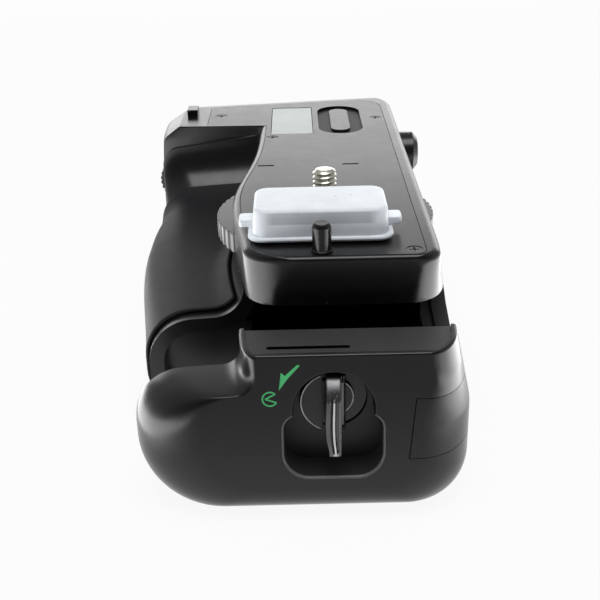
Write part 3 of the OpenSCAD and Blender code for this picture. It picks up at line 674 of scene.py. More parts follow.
def surface_group():
    """Uneven colour and sheen of a handled surface, with a few dust specks."""
    tree, given, out = new_group(
        "Handled surface",
        [("Colour", "NodeSocketColor", (0.5, 0.5, 0.5, 1)), ("Roughness", "NodeSocketFloat", 0.4),
         ("Spread", "NodeSocketFloat", 0.1), ("Dust", "NodeSocketFloat", 0.3)],
        [("Colour", "NodeSocketColor"), ("Roughness", "NodeSocketFloat")])
    place = node(tree, "TexCoord").outputs["Object"]
    cloud = node(tree, "TexNoise", Vector=place, Scale=45.0, Detail=5.0, Roughness=0.6).outputs["Fac"]
    rub = node(tree, "TexNoise", Vector=place, Scale=320.0, Detail=3.0, Roughness=0.55).outputs["Fac"]
    speck = node(tree, "TexVoronoi", Vector=place, Scale=190.0).outputs["Distance"]
    rare = node(tree, "TexNoise", Vector=place, Scale=70.0, Detail=1.0).outputs["Fac"]
    specks = maths(tree, "MULTIPLY", remap(tree, speck, 0.030, 0.018), remap(tree, rare, 0.52, 0.60))
    cover = node(tree, "Mix", data_type="RGBA")
    feed(tree, cover.inputs[0], maths(tree, "MULTIPLY", specks, given["Dust"]))
    feed(tree, cover.inputs[6], scaled(tree, given["Colour"], remap(tree, cloud, 0.3, 0.7, 0.86, 1.14)))
    feed(tree, cover.inputs[7], (0.42, 0.42, 0.40, 1))
    uneven = maths(tree, "SUBTRACT", maths(tree, "ADD", cloud, rub), 1.0)
    sheen = maths(tree, "MULTIPLY_ADD", uneven, given["Spread"], given["Roughness"])
    fill(tree, out, Colour=cover.outputs[2], Roughness=sheen)


def grain_group():
    """Height of a fine moulded grain."""
    tree, given, out = new_group(
        "Moulded grain", [("Scale", "NodeSocketFloat", 3000.0)], [("Height", "NodeSocketFloat")])
    place = node(tree, "TexCoord").outputs["Object"]
    cells = node(tree, "TexVoronoi", feature="SMOOTH_F1", Vector=place, Scale=given["Scale"], Smoothness=0.6)
    fine = node(tree, "TexNoise", Vector=place, Scale=given["Scale"], Detail=2.0)
    fill(tree, out, Height=maths(tree, "ADD", cells.outputs["Distance"], fine.outputs["Fac"]))


def brushed_group():
    """Sheen and height of turned or brushed metal, drawn out across Z."""
    tree, given, out = new_group(
        "Brushed metal",
        [("Colour", "NodeSocketColor", (0.5, 0.5, 0.5, 1)), ("Roughness", "NodeSocketFloat", 0.3)],
        [("Colour", "NodeSocketColor"), ("Roughness", "NodeSocketFloat"), ("Height", "NodeSocketFloat")])
    place = node(tree, "TexCoord").outputs["Object"]
    squeeze = node(tree, "Mapping", Vector=place, Scale=(900, 900, 5200))
    lines = node(tree, "TexNoise", Vector=squeeze.outputs[0], Scale=1.0, Detail=3.0).outputs["Fac"]
    cloud = node(tree, "TexNoise", Vector=place, Scale=260.0, Detail=4.0).outputs["Fac"]
    sheen = maths(tree, "ADD", remap(tree, lines, 0.3, 0.7, -0.07, 0.07), given["Roughness"])
    fill(tree, out, Colour=scaled(tree, given["Colour"], remap(tree, cloud, 0.3, 0.7, 0.75, 1.1)),
         Roughness=sheen, Height=lines)


def new_material(name, tint):
    old = bpy.data.materials.get(name)
    if old:
        old.name = name + "_cad"
    material = bpy.data.materials.new(name)
    material.use_nodes = True
    material.diffuse_color = (*tint, 1)
    return material.node_tree, material.node_tree.nodes["Principled BSDF"]


def use_group(tree, name, tint, **values):
    return node(tree, "Group", node_tree=bpy.data.node_groups[name], Colour=(*tint, 1), **values)


def dress(tree, shader, pattern, height, strength, depth):
    """Puts a pattern's colour and sheen on the shader, with a bump of its height in millimetres."""
    bump = node(tree, "Bump", Height=height, Strength=strength, Distance=depth * MM)
    fill(tree, shader, Base_Color=pattern.outputs["Colour"], Roughness=pattern.outputs["Roughness"],
         Normal=bump.outputs["Normal"])


def moulded(name, tint, rough, scale, depth, spread, dust, specular=0.5):
    """Moulded plastic or rubber: a fine grain under an uneven sheen."""
    tree, shader = new_material(name, tint)
    surface = use_group(tree, "Handled surface", tint, Roughness=rough, Spread=spread, Dust=dust)
    grain = node(tree, "Group", node_tree=bpy.data.node_groups["Moulded grain"], Scale=scale)
    shader.inputs["Specular IOR Level"].default_value = specular
    dress(tree, shader, surface, grain.outputs["Height"], 0.6, depth)


def metal(name, tint, rough):
    tree, shader = new_material(name, tint)
    brushed = use_group(tree, "Brushed metal", tint, Roughness=rough)
    shader.inputs["Metallic"].default_value = 1.0
    dress(tree, shader, brushed, brushed.outputs["Height"], 0.4, 0.004)


def milky(name, tint, clear_half=11, fade=1.8, wall_in=7.6, wall_out=8.2):
    """Milky plastic that lets the connector show through the middle of its front wall in level bands."""
    p = Plan()
    tree, shader = new_material(name, tint)
    surface = use_group(tree, "Handled surface", tint, Roughness=0.3, Spread=0.1, Dust=0.0)
    place = parted(tree, "Object")
    bands = node(tree, "ValToRGB", Fac=remap(
        tree, place["Z"], (p.body_h + p.cover_gap) * MM, (p.body_h + p.cap_h) * MM))
    ramp = bands.color_ramp
    ramp.elements[0].position, ramp.elements[0].color = 0.03, (0.08, 0.08, 0.08, 1)
    ramp.elements[1].position, ramp.elements[1].color = 0.95, (0, 0, 0, 1)
    for spot, value in ((0.08, 0.03), (0.15, 0.04), (0.19, 0.01), (0.24, 0.05), (0.38, 0.04), (0.46, 0.03),
                        (0.49, 0.0), (0.54, 0.0), (0.58, 0.35), (0.76, 0.31), (0.82, 0.24), (0.91, 0.20)):
        element = ramp.elements.new(spot)
        element.color = (value, value, value, 1)
    side = maths(tree, "ABSOLUTE", place["X"])
    middle = remap(tree, side, clear_half * MM, (clear_half + fade) * MM, 1.0, 0.0)
    wall = remap(tree, place["Y"], (p.connector_y - wall_out) * MM, (p.connector_y - wall_in) * MM, 1.0, 0.0)
    clear = maths(tree, "MULTIPLY", maths(tree, "MULTIPLY", middle, wall), bands.outputs["Color"])
    fill(tree, shader, Base_Color=surface.outputs["Colour"], Roughness=surface.outputs["Roughness"],
         Alpha=maths(tree, "SUBTRACT", 1.0, clear))


class GRIP_OT_housing(bpy.types.Operator):
    """Lofts the housing and cuts its rooms, seat and bores"""
    bl_idname = "grip.housing"
    bl_label = "Housing"

    def execute(self, context):
        p = Plan()
        body = self.shell(p)
        self.rooms(p, body)
        self.bores(p, body)
        self.shutter_end(p, body)
        settle_piece(body, "main_housing", "body_plastic")
        return {"FINISHED"}

    def shell(self, p, beyond=90):
        """Loft of the body with the ledge under its upper block, the tray's mouth and the deck's seat."""
        body = loft("main_housing_piece", [p.body_ring(y) for y in p.body_stations()])
        carve(body, block("cut", (-beyond, -beyond, -OVER), (beyond, p.mouth_y, p.ledge_z)))
        round_edges(body, lambda x, y, z: abs(z - p.ledge_z) < 0.01 and y < p.mouth_y - 0.2, 0.5)
        mouth = p.mouth_line(3.6, p.room_top + 0.2)
        carve(body, prism("cut", mouth, "Y", p.mouth_y - OVER, p.spigot_y + 1))
        round_edges(body, lambda x, y, z: abs(y - p.mouth_y) < 0.01 and z < p.ledge_z - 1.5, 0.45)
        carve(body, prism("cut", p.seat_line(2), "Z", p.plate_z, p.body_h + 2 * OVER))
        round_edges(body, lambda x, y, z: z > p.plate_z + 0.1 and y < p.far_len - 12, 0.25)
        return body

    def rooms(self, p, body, apart=0.01, pocket_d=4, ring_room=5.6, socket_r=5.6, base_d=1.4):
        """Tray chamber, cam room, wheel slot, pockets of connector and base plate, and board room."""
        top, wheel_top = p.body_h + OVER, p.wheel_z + p.wheel_t
        carve(body,
              block("cut", (p.room_front, p.mouth_y, p.room_floor), (p.room_back, p.room_end, p.room_step)),
              block("cut", (p.room_in, p.mouth_y, p.room_floor + apart),
                    (p.room_back - apart, p.room_end - apart, p.room_top)),
              block("cut", *p.cam_room),
              rod("cut", "Z", p.screw_axis, p.wheel_r + 0.6, p.wheel_z - GAP, wheel_top + GAP, 160),
              rod("cut", "Z", p.screw_axis, p.screw_r + 0.4, p.wheel_z, top),
              rod("cut", "Z", p.screw_axis, ring_room, p.wheel_z, wheel_top + 2),
              prism("cut", slab_line(*p.connector_pocket, 1.5), "Z", p.plate_z - pocket_d, top),
              rod("cut", "Z", (0, p.guide_y), p.pin_r + TOUCH, p.plate_z - pocket_d, top, 40),
              prism("cut", slab_line(*p.base_pocket, 4.2), "Z", -OVER, base_d),
              rod("cut", "Z", (0, 0), socket_r + TOUCH, -OVER, p.room_floor - 0.6),
              block("cut", *p.board_room))

    def bores(self, p, body, contact_r=1.2, contact_z=20, gimbal_r=0.85, axle_r=1.5, axle_reach=2.2):
        """Bores of screws and contacts, and the rooms of the pad, the focus button and the dials."""
        for x, y in p.plate_screws:
            carve(body, rod("cut", "Z", (x, y), p.small_screw, p.plate_z - 6, p.body_h, 24))
        for x, y in p.base_screws:
            carve(body, rod("cut", "Z", (x, y), p.small_screw, -OVER, 6, 24))
        for x in p.contacts:
            carve(body, rod("cut", "Y", (x, contact_z), contact_r + TOUCH, p.room_end - OVER, 67, 24))
        outside, gimbal = p.back_x + 10, p.pad_r + 2.6
        carve(body,
              rod("cut", "X", (p.pad_y, p.pad_z), p.pad_r + 1.2, p.pad_x - 3.5, outside),
              rod("cut", "Y", (p.pad_x, p.pad_z), gimbal_r, p.pad_y - gimbal, p.pad_y + gimbal, 24),
              rod("cut", "X", (p.focus_y, p.focus_z), p.focus_r + GAP, p.pad_x - 2.5, outside))
        for x, z, y in (p.rear_dial, p.front_dial):
            end = y + p.dial_w
            carve(body, rod("cut", "Y", (x, z), p.dial_r + 0.5, y - GAP, end + GAP),
                  rod("cut", "Y", (x, z), axle_r + TOUCH, y - axle_reach, end + axle_reach, 32))

    def shutter_end(self, p, body, boss_r=9.4, face_r=9.8):
        """Boss, round face and bore of the shutter button, and the lug at the far edge of the seat."""
        carve(body, rod("boss", "Y", p.button, boss_r, p.button_y - 14, p.button_y + 1), how="UNION")
        carve(body, block("lug", *p.lug), how="UNION")
        carve(body, rod("cut", "Y", p.button, face_r, p.button_y, p.button_y + 30, 96),
              rod("cut", "Y", p.button, p.button_r + GAP, p.button_y - 7, p.button_y + 20))
        round_edges(body, lambda x, y, z: z > p.body_h + 0.5, 0.6)


class GRIP_OT_skins(bpy.types.Operator):
    """Lays the rubber skins on the handgrip and the back"""
    bl_idname = "grip.skins"
    bl_label = "Rubber skins"

    def execute(self, context):
        p = Plan()
        run, sunk = ARC + 1 + SIDE, 0.06
        hollow, toe, heel = 6 * run + round(ARC * 0.4), round(ARC * 0.6) + 1, run + round(ARC * 0.6)
        rows = []
        for i in range(61):
            ring = p.body_ring(mix(p.mouth_y + 3.6, p.far_y - 7, i / 60), sunk)
            rows.append(ring[hollow:] + ring[:toe])
        self.skin("grip_rubber", rows, p.rubber_t - sunk)
        rows = []
        for i in range(41):
            ring = p.body_ring(mix(p.far_y - 26, p.far_y + 22, i / 40), sunk)
            rows.append(ring[heel:2 * run + ARC + 1])
        self.skin("thumb_rubber", rows, p.rubber_t - sunk - 0.2)
        return {"FINISHED"}

    def skin(self, name, rows, thick):
        obj = loft(name + "_piece", rows, closed=False)
        apply(obj, "SOLIDIFY", thickness=thick * MM, offset=1.0, use_even_offset=True)
        outward(obj)
        soften(obj, 0.7, 4, 50)
        settle_piece(obj, name, "grip_rubber", 45)


class GRIP_OT_deck(bpy.types.Operator):
    """Softens the deck plate, its label and its screws"""
    bl_idname = "grip.deck"
    bl_label = "Deck"

    def execute(self, context):
        sunk = Plan().body_h - 0.3
        plate = soft_copy("top_plate", "plate_plastic", 0.14)
        # The sunk floor of the deck's groove gets painted shade.
        touch_up(plate, ["dark_inside"], lambda x, y, z, normal: z < sunk and normal.z > 0.5)
        soft_copy("label_plate", "label_film", 0.06)
        soft_copy("plate_screws", "dark_steel", 0.08)
        return {"FINISHED"}


class GRIP_OT_cover(bpy.types.Operator):
    """Models the clear cover of the camera connector"""
    bl_idname = "grip.cover"
    bl_label = "Connector cover"

    def execute(self, context):
        p = Plan()
        base, top = p.body_h + p.cover_gap, p.body_h + p.cap_h
        half, deep, wall, roof = p.cap_w / 2, 9.1, 1.2, 1.3
        shell = self.slab(p, "contact_cap_piece", half, deep, 3.4, base, top)
        middle = p.connector_y * MM
        for vertex in shell.data.vertices:
            if vertex.co.z > (top - 0.1) * MM:
                vertex.co.x *= 1 - 0.5 / half
                vertex.co.y = middle + (vertex.co.y - middle) * (1 - 0.4 / deep)
        round_edges(shell, lambda x, y, z: z > top - 0.1, 0.8, 4)
        foot = self.slab(p, "foot", half + 1, deep + 0.6, 3.9, base, base + 1.2)
        carve(shell, round_edges(foot, lambda x, y, z: z > base + 1, 0.6), how="UNION")
        tabs = self.slab(p, "tabs", half + 3.2, 2.6, 1, base + 1.4, base + 3.2)
        carve(shell, round_edges(tabs, lambda x, y, z: True, 0.3, 2, 60), how="UNION")
        carve(shell, self.slab(p, "room", half - wall, deep - wall, 2.2, base - OVER, top - roof))
        settle_piece(shell, "contact_cap", "clear_plastic", 30)
        return {"FINISHED"}

    def slab(self, p, name, half, deep, r, low, high):
        """Rounded slab over the connector."""
        line = slab_line((-half, p.connector_y - deep), (half, p.connector_y + deep), r)
        return prism(name, line, "Z", low, high)


class GRIP_OT_connector(bpy.types.Operator):
    """Softens the connector block, its contacts and the guide pin"""
    bl_idname = "grip.connector"
    bl_label = "Connector"

    def execute(self, context):
        soft_copy("contact_block", "body_plastic", 0.2)
        soft_copy("signal_pins", "contact_brass", 0.08)
        soft_copy("guide_pin", "control_plastic", 0.3, 3)
        return {"FINISHED"}


class GRIP_OT_wheel(bpy.types.Operator):
    """Turns the attachment screw with its thread and softens the wheel"""
    bl_idname = "grip.wheel"
    bl_label = "Attachment wheel"

    def execute(self, context):
        p = Plan()
        soft_copy("attachment_wheel", "control_plastic", 0.25)
        soft_copy("retaining_ring", "dark_steel", 0.08)
        head_r, head_top, shank_r, edge = 6, p.wheel_z + 1.98, 2.575, 0.2
        tip = p.body_h + p.screw_h
        rows = [(head_r - edge, p.wheel_z), (head_r, p.wheel_z + edge), (head_r, head_top - edge),
                (head_r - edge, head_top), (shank_r, head_top), (shank_r, p.body_h), (2.5, p.body_h + 0.02)]
        rings = [self.ring(p, r, z, 0) for r, z in rows]
        for i in range(61):
            z = mix(p.body_h + 0.04, tip, i / 60)
            end = ease(1.5, 1.1, tip - z)
            rings.append(self.ring(p, p.screw_r - end, z, 0.52 * min(1, (tip - z) / 0.7)))
        settle_piece(loft("attachment_screw_piece", rings), "attachment_screw", "nickel", 40)
        return {"FINISHED"}

    def ring(self, p, r, z, depth, pitch=1.27, steps=60):
        """Ring of the screw with its thread cut in by depth."""
        line = []
        for i in range(steps):
            phase = (z / pitch - i / steps) % 1
            cut = depth * min(1, max(0, abs(phase - 0.5) * 2.4 - 0.2))
            spot = cmath.rect(r - cut, 2 * math.pi * i / steps)
            line.append((p.axis_x + spot.real, spot.imag, z))
        return line


class GRIP_OT_end_cap(bpy.types.Operator):
    """Lofts the tray's end cap with its recess, ledge and flap, and prints the latch mark"""
    bl_idname = "grip.end_cap"
    bl_label = "Tray end cap"

    def execute(self, context):
        p = Plan()
        cap = loft("tray_end_cap_piece", p.cap_rings())
        flap = self.flap(p)
        carve(cap, self.zone(p, 0.15))
        self.lid(p, cap)
        self.recess(p, cap)
        settle_piece(cap, "tray_end_cap", "gloss_shell")
        # The ledge and the recess get painted light, and the recess's lower rim a painted highlight.
        touch_up(cap, ["satin_ledge", "satin_pocket", "worn_edge"], lambda *spot: self.finish(p, *spot))
        settle_piece(flap, "cable_flap", "flap_rubber")
        self.mark(p)
        return {"FINISHED"}

    def lid(self, p, cap, rim_w=1.2, ledge_d=0.6):
        """Sunk ledge and slot in the top, and the spigot that enters the mouth."""
        front, spigot = p.front_y - p.tray_out, p.spigot_y - p.tray_out
        ledge = prism("ledge", self.ledge_line(p, rim_w), "Z", p.lid_z - ledge_d, p.lid_z + 1.4)
        slot = slab_line((-12.6, front + 4.1), (5.2, front + 5.4), 0.6)
        carve(cap, ledge, prism("slot", slot, "Z", p.lid_z - 1.5, p.lid_z + OVER))
        section = p.mouth_line(4, p.room_top - 0.2)
        carve(cap, prism("spigot", section, "Y", p.mouth_y - 2 - p.tray_out, spigot), how="UNION")

    def recess(self, p, cap, bore_r=3.05, screw_z=18):
        """Recess of the latch with rounded rims, the knob's seat, and the bores behind them."""
        near, floor = p.face_y - 20 - p.tray_out, p.floor_y - p.tray_out
        front, spigot = p.front_y - p.tray_out, p.spigot_y - p.tray_out
        spot, r = (p.knob_x, p.knob_z), p.knob_r + 1.5
        left, right = p.knob_x - 10.8, p.knob_x + 10.4
        low, high = p.knob_z - 15.6, p.knob_z - 1
        corners = [(left, low, 5.6), (right, low, 5.6), (right, high, 3.4), (left, high, 3.4)]
        turns = [2j * math.pi * i / 96 for i in range(96)]
        carve(cap, prism("pocket", rounded(corners), "Y", near, floor),
              rod("round", "Y", spot, r, near - OVER, floor, 96),
              self.rim(p, lambda t: rounded(corners, t)),
              self.rim(p, lambda t: [complex(*spot) + (r + t) * cmath.exp(turn) for turn in turns]),
              rod("seat", "Y", spot, p.knob_r + GAP, floor - 0.5, floor + 2, 96),
              rod("bore", "Y", spot, bore_r, floor, spigot + OVER, 48),
              block("port", (22.2, front + 2, 17), (27.2, front + 9, 23)))
        for x in p.tray_screws:
            carve(cap, rod("cut", "Y", (x, screw_z), p.small_screw, spigot - 5, spigot + OVER, 24))

    def finish(self, p, x, y, z, normal):
        """Slot of a face: 1 on the ledge and 2 in the recess, both painted light; 3 on the lower part of its
        rim, a painted highlight.
        """
        depth, floor = y - p.cap_face(z), p.floor_y - p.tray_out
        if normal.z > 0.9 and abs(z - p.lid_z + 0.6) < 0.1:
            return 1
        beside = abs(x - p.knob_x) < 11.6 and p.knob_z - 16.4 < z < p.lid_z - 2
        if not beside or depth <= 0.01 or y >= floor + 0.6:
            return 0
        return 2 if depth > 0.6 else 3 * (z < p.knob_z - 1)

    def rim(self, p, outline, r=0.5):
        """Tool that rounds the rim of an opening in the leaning face."""
        rings = []
        for depth in (-0.4, 0, 0.03, 0.08, 0.16, 0.28, r):
            line = outline(ease(r, r, depth))
            rings.append([(q.real, p.cap_face(q.imag) + depth, q.imag) for q in line])
        return loft("rim", rings)

    def zone(self, p, t, low=15, high=29, beyond=30):
        """Wedge of the flap's corner, grown by t."""
        a = complex(16.2, p.front_y - 3.4 - p.tray_out)
        b = complex(p.back_x - 0.3, p.mouth_y - 2.6 - p.tray_out)
        along = (b - a) / abs(b - a)
        across = along * -1j
        a, b = a - (across + along) * t, b - (across - along) * t
        return prism("zone", [a, b, b + across * beyond, a + across * beyond], "Z", low - t, high + t)

    def flap(self, p):
        flap = loft("cable_flap_piece", p.cap_rings())
        carve(flap, self.zone(p, 0), how="INTERSECT")
        return soften(flap, 0.12, 2, 40)

    def ledge_line(self, p, t):
        """Outline of the cap's top drawn in by t."""
        steps = [p.front_y + t + (p.cap_depth - t) * (1 - math.cos(a)) for a in sweep_steps(18)]
        left = [complex(p.cap_corners(y)[5][0] + t, y - p.tray_out) for y in steps]
        right = [complex(p.cap_corners(y)[4][0] - t, y - p.tray_out) for y in reversed(steps)]
        return left + right

    def mark(self, p, inner=1.42, outer=1.74, sunk=0.045, film=0.05):
        """Straight arrow and open ring, printed beside the latch."""
        arrow = [complex(x, z) for x, z in (
            (-5.6, 37.2), (-8.12, 34.4), (-10.07, 31.72), (-9.55, 35.75), (-8.75, 35.0), (-6.0, 37.5))]
        centre, vertex = complex(-12, 29.75), complex(-13.0, 29.75)
        turns = [math.radians(45 + 283 * i / 40) for i in range(41)]
        ring = [centre + cmath.rect(outer, a) for a in turns]
        ring += [centre + cmath.rect(inner, a) for a in reversed(turns)]
        parts = [prism("latch_mark", line, "Y", 0, film) for line in (arrow, ring)]
        for a in (turns[0], turns[-1]):
            jaw = centre + cmath.rect((inner + outer) / 2, a)
            across = (jaw - vertex) / abs(jaw - vertex) * 1j * (outer - inner) / 2
            line = [vertex + across, jaw + across, jaw - across, vertex - across]
            carve(parts[1], prism("jaw", line, "Y", 0, film), how="UNION")
        for part in parts:
            for point in part.data.vertices:
                point.co.y += (p.cap_face(point.co.z / MM) - sunk) * MM
            outward(part)
        take(parts[0])
        parts[1].select_set(True)
        bpy.ops.object.join()
        mark = named("latch_mark")
        mark.data.materials.append(bpy.data.materials["green_mark"])
        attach(mark, "tray")


class GRIP_OT_latch(bpy.types.Operator):
    """Softens the latch and models its fold-out key"""
    bl_idname = "grip.latch"
    bl_label = "Latch"

    def execute(self, context):
        p = Plan()
        knob = settle_piece(self.knob(p), "latch_knob", "control_plastic")
        soft_copy("latch_cam", "dark_steel", 0.2)
        soft_copy("cam_screw", "dark_steel", 0.1)
        soft_copy("key_pin", "nickel", 0.1)
        key = settle_piece(self.key(p), "latch_key", "dark_steel", look="key_steel")
        # The key's rib and the knob's beads get a painted highlight of pale metal.
        touch_up(key, ["bright_edge"], lambda *spot: self.on_rib(p, *spot))
        touch_up(knob, ["bright_edge"], lambda *spot: self.on_bead(p, *spot))
        return {"FINISHED"}

    def knob(self, p, rib_r=0.24):
        """The knob with ribs on its hinge ears and fine beads on its raised edges."""
        knob = soften(copy_of("latch_knob"), 0.22, 3)
        for z in (p.knob_z - p.ear_z, p.knob_z + p.ear_z):
            for x in (-0.62, 0, 0.62):
                spot = (p.hinge_x + x, p.hinge_y - 1.0)
                rib = rod("rib", "Z", spot, rib_r, z - p.ear_half, z + p.ear_half, 20)
                carve(knob, soften(rib, 0.08), how="UNION")
        moon = self.bead(p, p.knob_r - BEAD, p.knob_y - p.moon_t, 112, 248)
        return carve(knob, moon, self.bead(p, p.hub_r - BEAD, p.knob_y, -62, 62), how="UNION")

    def bead(self, p, radius, y, start, stop, steps=48, sides=12):
        """Bead along an arc about the knob's axis, between two angles in degrees from +X."""
        section = [cmath.rect(BEAD, 2 * math.pi * k / sides) for k in range(sides)]
        rings = []
        for i in range(steps + 1):
            turn = cmath.rect(1, math.radians(mix(start, stop, i / steps)))
            ring = [(turn * (radius + q.real), y + q.imag) for q in section]
            rings.append([(p.knob_x + q.real, depth, p.knob_z + q.imag) for q, depth in ring])
        return loft("bead", rings)

    def on_bead(self, p, x, y, z, normal, edge=0.01, foot=0.3):
        from_axis = math.hypot(x - p.knob_x, z - p.knob_z)
        moon = abs(from_axis - p.knob_r + BEAD) < BEAD and y < p.knob_y - p.moon_t - edge
        hub = abs(from_axis - p.hub_r + BEAD) < BEAD and p.knob_y - foot < y < p.knob_y - edge
        return moon or (hub and x > p.knob_x + 2)

    def key(self, p, low=-10.2, tail=-8.2, top=7.6, play=0.1):
        """Bar of the key with a wavy rib between two grooves along its free edge."""
        spots = [(low, 0.5), (low + 0.12, 0.2), (low + 0.4, 0)]
        spots += [(mix(low + 0.8, tail - 0.01, i / 4), 0) for i in range(5)]
        spots += [(mix(tail, 3, i / 26), 0) for i in range(27)]
        spots += [(mix(3.2, top - 0.3, i / 12), 0) for i in range(13)] + [(top - 0.1, 0.12), (top, 0.4)]
        rings = [self.ring(p, v, inset, 4.6 if v < tail else -1.6) for v, inset in spots]
        key = loft("latch_key_piece", rings)
        for z in (p.knob_z - p.ear_z, p.knob_z + p.ear_z):
            half = p.ear_half + play
            carve(key, block("slot", (p.hinge_x - 1.5, p.hinge_y - 1.5, z - half),
                             (p.hinge_x + 1, p.hinge_y + 9, z + half)))
        spot = (p.hinge_x, p.hinge_y)
        carve(key, rod("barrel", "Z", spot, 1.1, p.knob_z - 5.2, p.knob_z + 5.2, 32), how="UNION")
        return carve(key, rod("bore", "Z", spot, 0.65, p.knob_z - 9, p.knob_z + 9, 32))

    def sway(self, v):
        """Sideways wave of the key's free side at a height v from the knob's axis."""
        return 0.5 * (1 - smooth(-9.4, -5.6, v)) - 0.28 * bell(-2.6, 4, v)

    def on_rib(self, p, x, y, z, normal):
        sway = self.sway(z - p.knob_z)
        across = (x - p.hinge_x + p.key_t - sway) / (1 - sway / p.key_t)
        return 1.3 < across < 2.02 and y < p.hinge_y - p.key_reach + 0.4 and z < p.knob_z + 5

    def ring(self, p, v, inset, rear, swing=8.3):
        """Section of the key at a height v from the knob's axis, kept inside its swing."""
        reach = min(p.key_reach, math.sqrt(swing ** 2 - max(0, v) ** 2) - 1.5) - inset
        deep = smooth(-9.9, -9.2, v) * (1 - smooth(3.4, 5.2, v))
        grooves = ((0.38, 0), (0.78, 0), (0.9, 0.1), (0.98, 0.9), (1.22, 0.95), (1.32, 0.3), (1.46, 0.08),
                   (1.66, 0), (1.86, 0.08), (2.0, 0.3), (2.1, 0.95), (2.5, 0.9), (2.58, 0.1), (2.7, 0),
                   (2.95, 0))
        edge = [(0, 0.4), (0.12, 0.12)] + [(across, drop * deep) for across, drop in grooves]
        edge += [(p.key_t - 0.1, 0.12), (p.key_t, 0.4)]
        line = [(across, p.hinge_y - reach + drop) for across, drop in edge]
        line += [(across, p.hinge_y - rear - inset) for across in (p.key_t, 0)]
        left, sway = p.hinge_x - p.key_t, self.sway(v)
        return [(left + across + sway * (1 - across / p.key_t), y, p.knob_z + v) for across, y in line]


class GRIP_OT_cradle(bpy.types.Operator):
    """Softens the battery cradle, its contacts and screws"""
    bl_idname = "grip.cradle"
    bl_label = "Battery cradle"

    def execute(self, context):
        # The cradle inside the tray gets painted shade.
        soft_copy("tray_cradle", "body_plastic", 0.25, look="dark_inside")
        soft_copy("tray_contacts", "contact_brass", 0.12)
        soft_copy("tray_screws", "dark_steel", 0.1)
        return {"FINISHED"}


class GRIP_OT_controls(bpy.types.Operator):
    """Makes the lock collar and softens the buttons, dials and pad"""
    bl_idname = "grip.controls"
    bl_label = "Controls"

    def execute(self, context):
        p = Plan()
        low, high = p.button_y + TOUCH, p.button_y + 2.6
        rings = []
        for t, y in ((0.15, low), (0, low + 0.15), (0, high - 0.5), (0.07, high - 0.25), (0.25, high - 0.07),
                     (0.5, high)):
            rings.append([(q.real, y, q.imag) for q in self.collar_line(p, t)])
        collar = loft("lock_collar_piece", rings)
        carve(collar, rod("cut", "Y", p.button, p.button_r + GAP, low - OVER, high + OVER))
        settle_piece(collar, "lock_collar", "control_plastic")
        for name, width in (("shutter_button", 0.35), ("front_dial", 0.2), ("rear_dial", 0.2),
                            ("direction_pad", 0.4), ("focus_button", 0.3)):
            soft_copy(name, "control_plastic", width, 3)
        for name in ("front_axle", "rear_axle", "pad_gimbal"):
            soft_copy(name, "dark_steel", 0.12)
        return {"FINISHED"}

    def collar_line(self, p, t, radius=8.6, reach=11, half=1.4, tip=0.4, aim=150):
        """Outline of the collar with its lug, drawn in by t."""
        radius, reach, half = radius - t, reach - t, half - t
        gap = math.asin(half / radius)
        line = [cmath.rect(radius, mix(gap, 2 * math.pi - gap, i / 72)) for i in range(73)]
        for side, start in ((-1, -90), (1, 0)):
            middle = complex(reach - tip, side * (half - tip))
            line += [middle + cmath.rect(tip, math.radians(start + 15 * i)) for i in range(7)]
        return [complex(*p.button) + q * cmath.rect(1, math.radians(aim)) for q in line]


class GRIP_OT_base(bpy.types.Operator):
    """Softens the base plate, its screws, the socket and the board with its contacts"""
    bl_idname = "grip.base"
    bl_label = "Base and board"

    def execute(self, context):
        soft_copy("base_plate", "plate_plastic", 0.3)
        soft_copy("base_screws", "dark_steel", 0.08)
        soft_copy("tripod_socket", "nickel", 0.2)
        soft_copy("main_board", "board", 0.08)
        soft_copy("chamber_contacts", "contact_brass", 0.2)
        return {"FINISHED"}


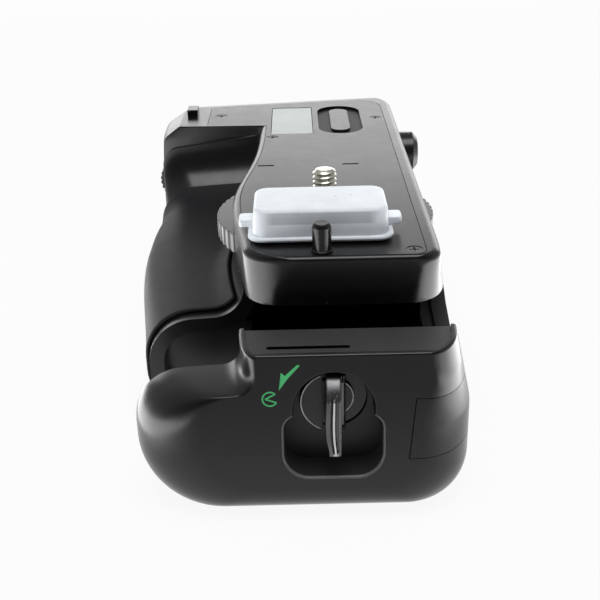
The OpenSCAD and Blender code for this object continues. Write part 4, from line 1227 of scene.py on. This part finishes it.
class GRIP_OT_studio(bpy.types.Operator):
    """Sets the floor, the soft light and the camera"""
    bl_idname = "grip.studio"
    bl_label = "Studio"

    def execute(self, context):
        studio = context.scene.grip_studio
        self.floor(studio)
        self.sky(context.scene, studio)
        self.lamps(studio)
        self.camera(context.scene)
        context.scene.view_settings.view_transform = "Standard"
        return {"FINISHED"}

    def floor(self, studio):
        """Paper, lifted to white for the camera, and in reflections less bright toward the front."""
        settle()
        bpy.ops.mesh.primitive_plane_add(size=6)
        floor = named("floor")
        pale = (0.86, 0.86, 0.86)
        tree, shader = new_material("floor_white", pale)
        tree.nodes.remove(shader)
        path = node(tree, "LightPath").outputs
        lift = maths(tree, "MULTIPLY", path["Is Camera Ray"], studio.floor_white)
        fade = remap(tree, parted(tree, "Object")["Y"], -0.15, -0.08, 0.45, 1.0)
        paper = node(tree, "BsdfDiffuse", Color=(*pale, 1))
        white = node(tree, "Emission", Color=(1, 1, 1, 1),
                     Strength=maths(tree, "MAXIMUM", fade, path["Is Camera Ray"]))
        both = node(tree, "MixShader", Fac=maths(tree, "MAXIMUM", lift, path["Is Glossy Ray"]))
        feed(tree, both.inputs[1], paper.outputs[0])
        feed(tree, both.inputs[2], white.outputs[0])
        fill(tree, tree.nodes["Material Output"], Surface=both.outputs[0])
        floor.data.materials.append(bpy.data.materials["floor_white"])

    def sky(self, scene, studio):
        """White to the camera, and for all other rays soft round the sides and dark in front."""
        scene.world = bpy.data.worlds.new("studio")
        scene.world.use_nodes = True
        tree = scene.world.node_tree
        tree.nodes.clear()
        room = remap(tree, parted(tree, "Generated")["Y"], -0.75, 0.0, studio.front_dark, studio.ambient,
                     curve="SMOOTHSTEP")
        strength = node(tree, "Mix", data_type="FLOAT")
        feed(tree, strength.inputs[0], node(tree, "LightPath").outputs["Is Camera Ray"])
        feed(tree, strength.inputs[2], room)
        feed(tree, strength.inputs[3], 1.0)
        light = node(tree, "Background", Color=(1, 1, 1, 1), Strength=strength.outputs[0])
        node(tree, "OutputWorld", Surface=light.outputs[0])

    def lamps(self, studio):
        panel, flat = (0.13, 0.26), (0, 0, 1)
        for name, spot, aim, size, bright in (
                ("lamp_top", (0.0, -0.18, 0.85), (0, 0.2, -0.82), (0.6, 0.5), studio.top_level),
                ("lamp_back", (0.0, 1.0, 0.22), (0, -1, -0.19), (1.7, 0.40), studio.back_level),
                ("panel_left", (-0.135, -0.03, 0.0015), flat, panel, studio.side_level),
                ("panel_right", (0.135, -0.03, 0.0015), flat, panel, studio.side_level)):
            turn = Vector(aim).to_track_quat("-Z", "Y").to_euler()
            bpy.ops.object.light_add(type="AREA", location=spot, rotation=turn)
            lamp = bpy.context.object
            lamp.name = name
            lamp.data.shape = "RECTANGLE"
            lamp.data.size, lamp.data.size_y = size
            lamp.data.energy = bright * math.pi * size[0] * size[1]
            lamp.visible_camera = False

    def camera(self, scene):
        tilt = Matrix.Rotation(math.radians(65.1), 3, "X") @ Matrix.Rotation(math.radians(-1.3), 3, "Z")
        bpy.ops.object.camera_add(location=(-0.0052, -0.258, 0.1387), rotation=tilt.to_euler())
        scene.camera = bpy.context.object
        optics = scene.camera.data
        optics.lens, optics.sensor_width = 61.2, 36
        optics.clip_start = 0.01


STEPS = (GRIP_OT_finishes, GRIP_OT_housing, GRIP_OT_skins, GRIP_OT_deck, GRIP_OT_cover, GRIP_OT_connector,
         GRIP_OT_wheel, GRIP_OT_end_cap, GRIP_OT_latch, GRIP_OT_cradle, GRIP_OT_controls, GRIP_OT_base,
         GRIP_OT_studio)


class GRIP_PT_panel(bpy.types.Panel):
    bl_idname = "GRIP_PT_panel"
    bl_label = "Battery grip"
    bl_space_type = "VIEW_3D"
    bl_region_type = "UI"
    bl_category = "Battery grip"

    def draw(self, context):
        for step in STEPS:
            self.layout.operator(step.bl_idname)
        for group in (context.scene.grip_body, context.scene.grip_tray, context.scene.grip_fittings,
                      context.scene.grip_finish, context.scene.grip_studio):
            column = self.layout.column(align=True)
            for key in type(group).__annotations__:
                column.prop(group, key)


GROUPS = {"grip_body": GripBody, "grip_tray": GripTray, "grip_fittings": GripFittings,
          "grip_finish": GripFinish, "grip_studio": GripStudio}


def register():
    for name, group in GROUPS.items():
        bpy.utils.register_class(group)
        setattr(bpy.types.Scene, name, bpy.props.PointerProperty(type=group))
    for step in STEPS:
        bpy.utils.register_class(step)
    bpy.utils.register_class(GRIP_PT_panel)


def unregister():
    bpy.utils.unregister_class(GRIP_PT_panel)
    for step in reversed(STEPS):
        bpy.utils.unregister_class(step)
    for name, group in reversed(GROUPS.items()):
        delattr(bpy.types.Scene, name)
        bpy.utils.unregister_class(group)


def main():
    register()
    for step in STEPS:
        getattr(bpy.ops.grip, step.bl_idname.split(".")[1])()


if __name__ == "__main__":
    main()
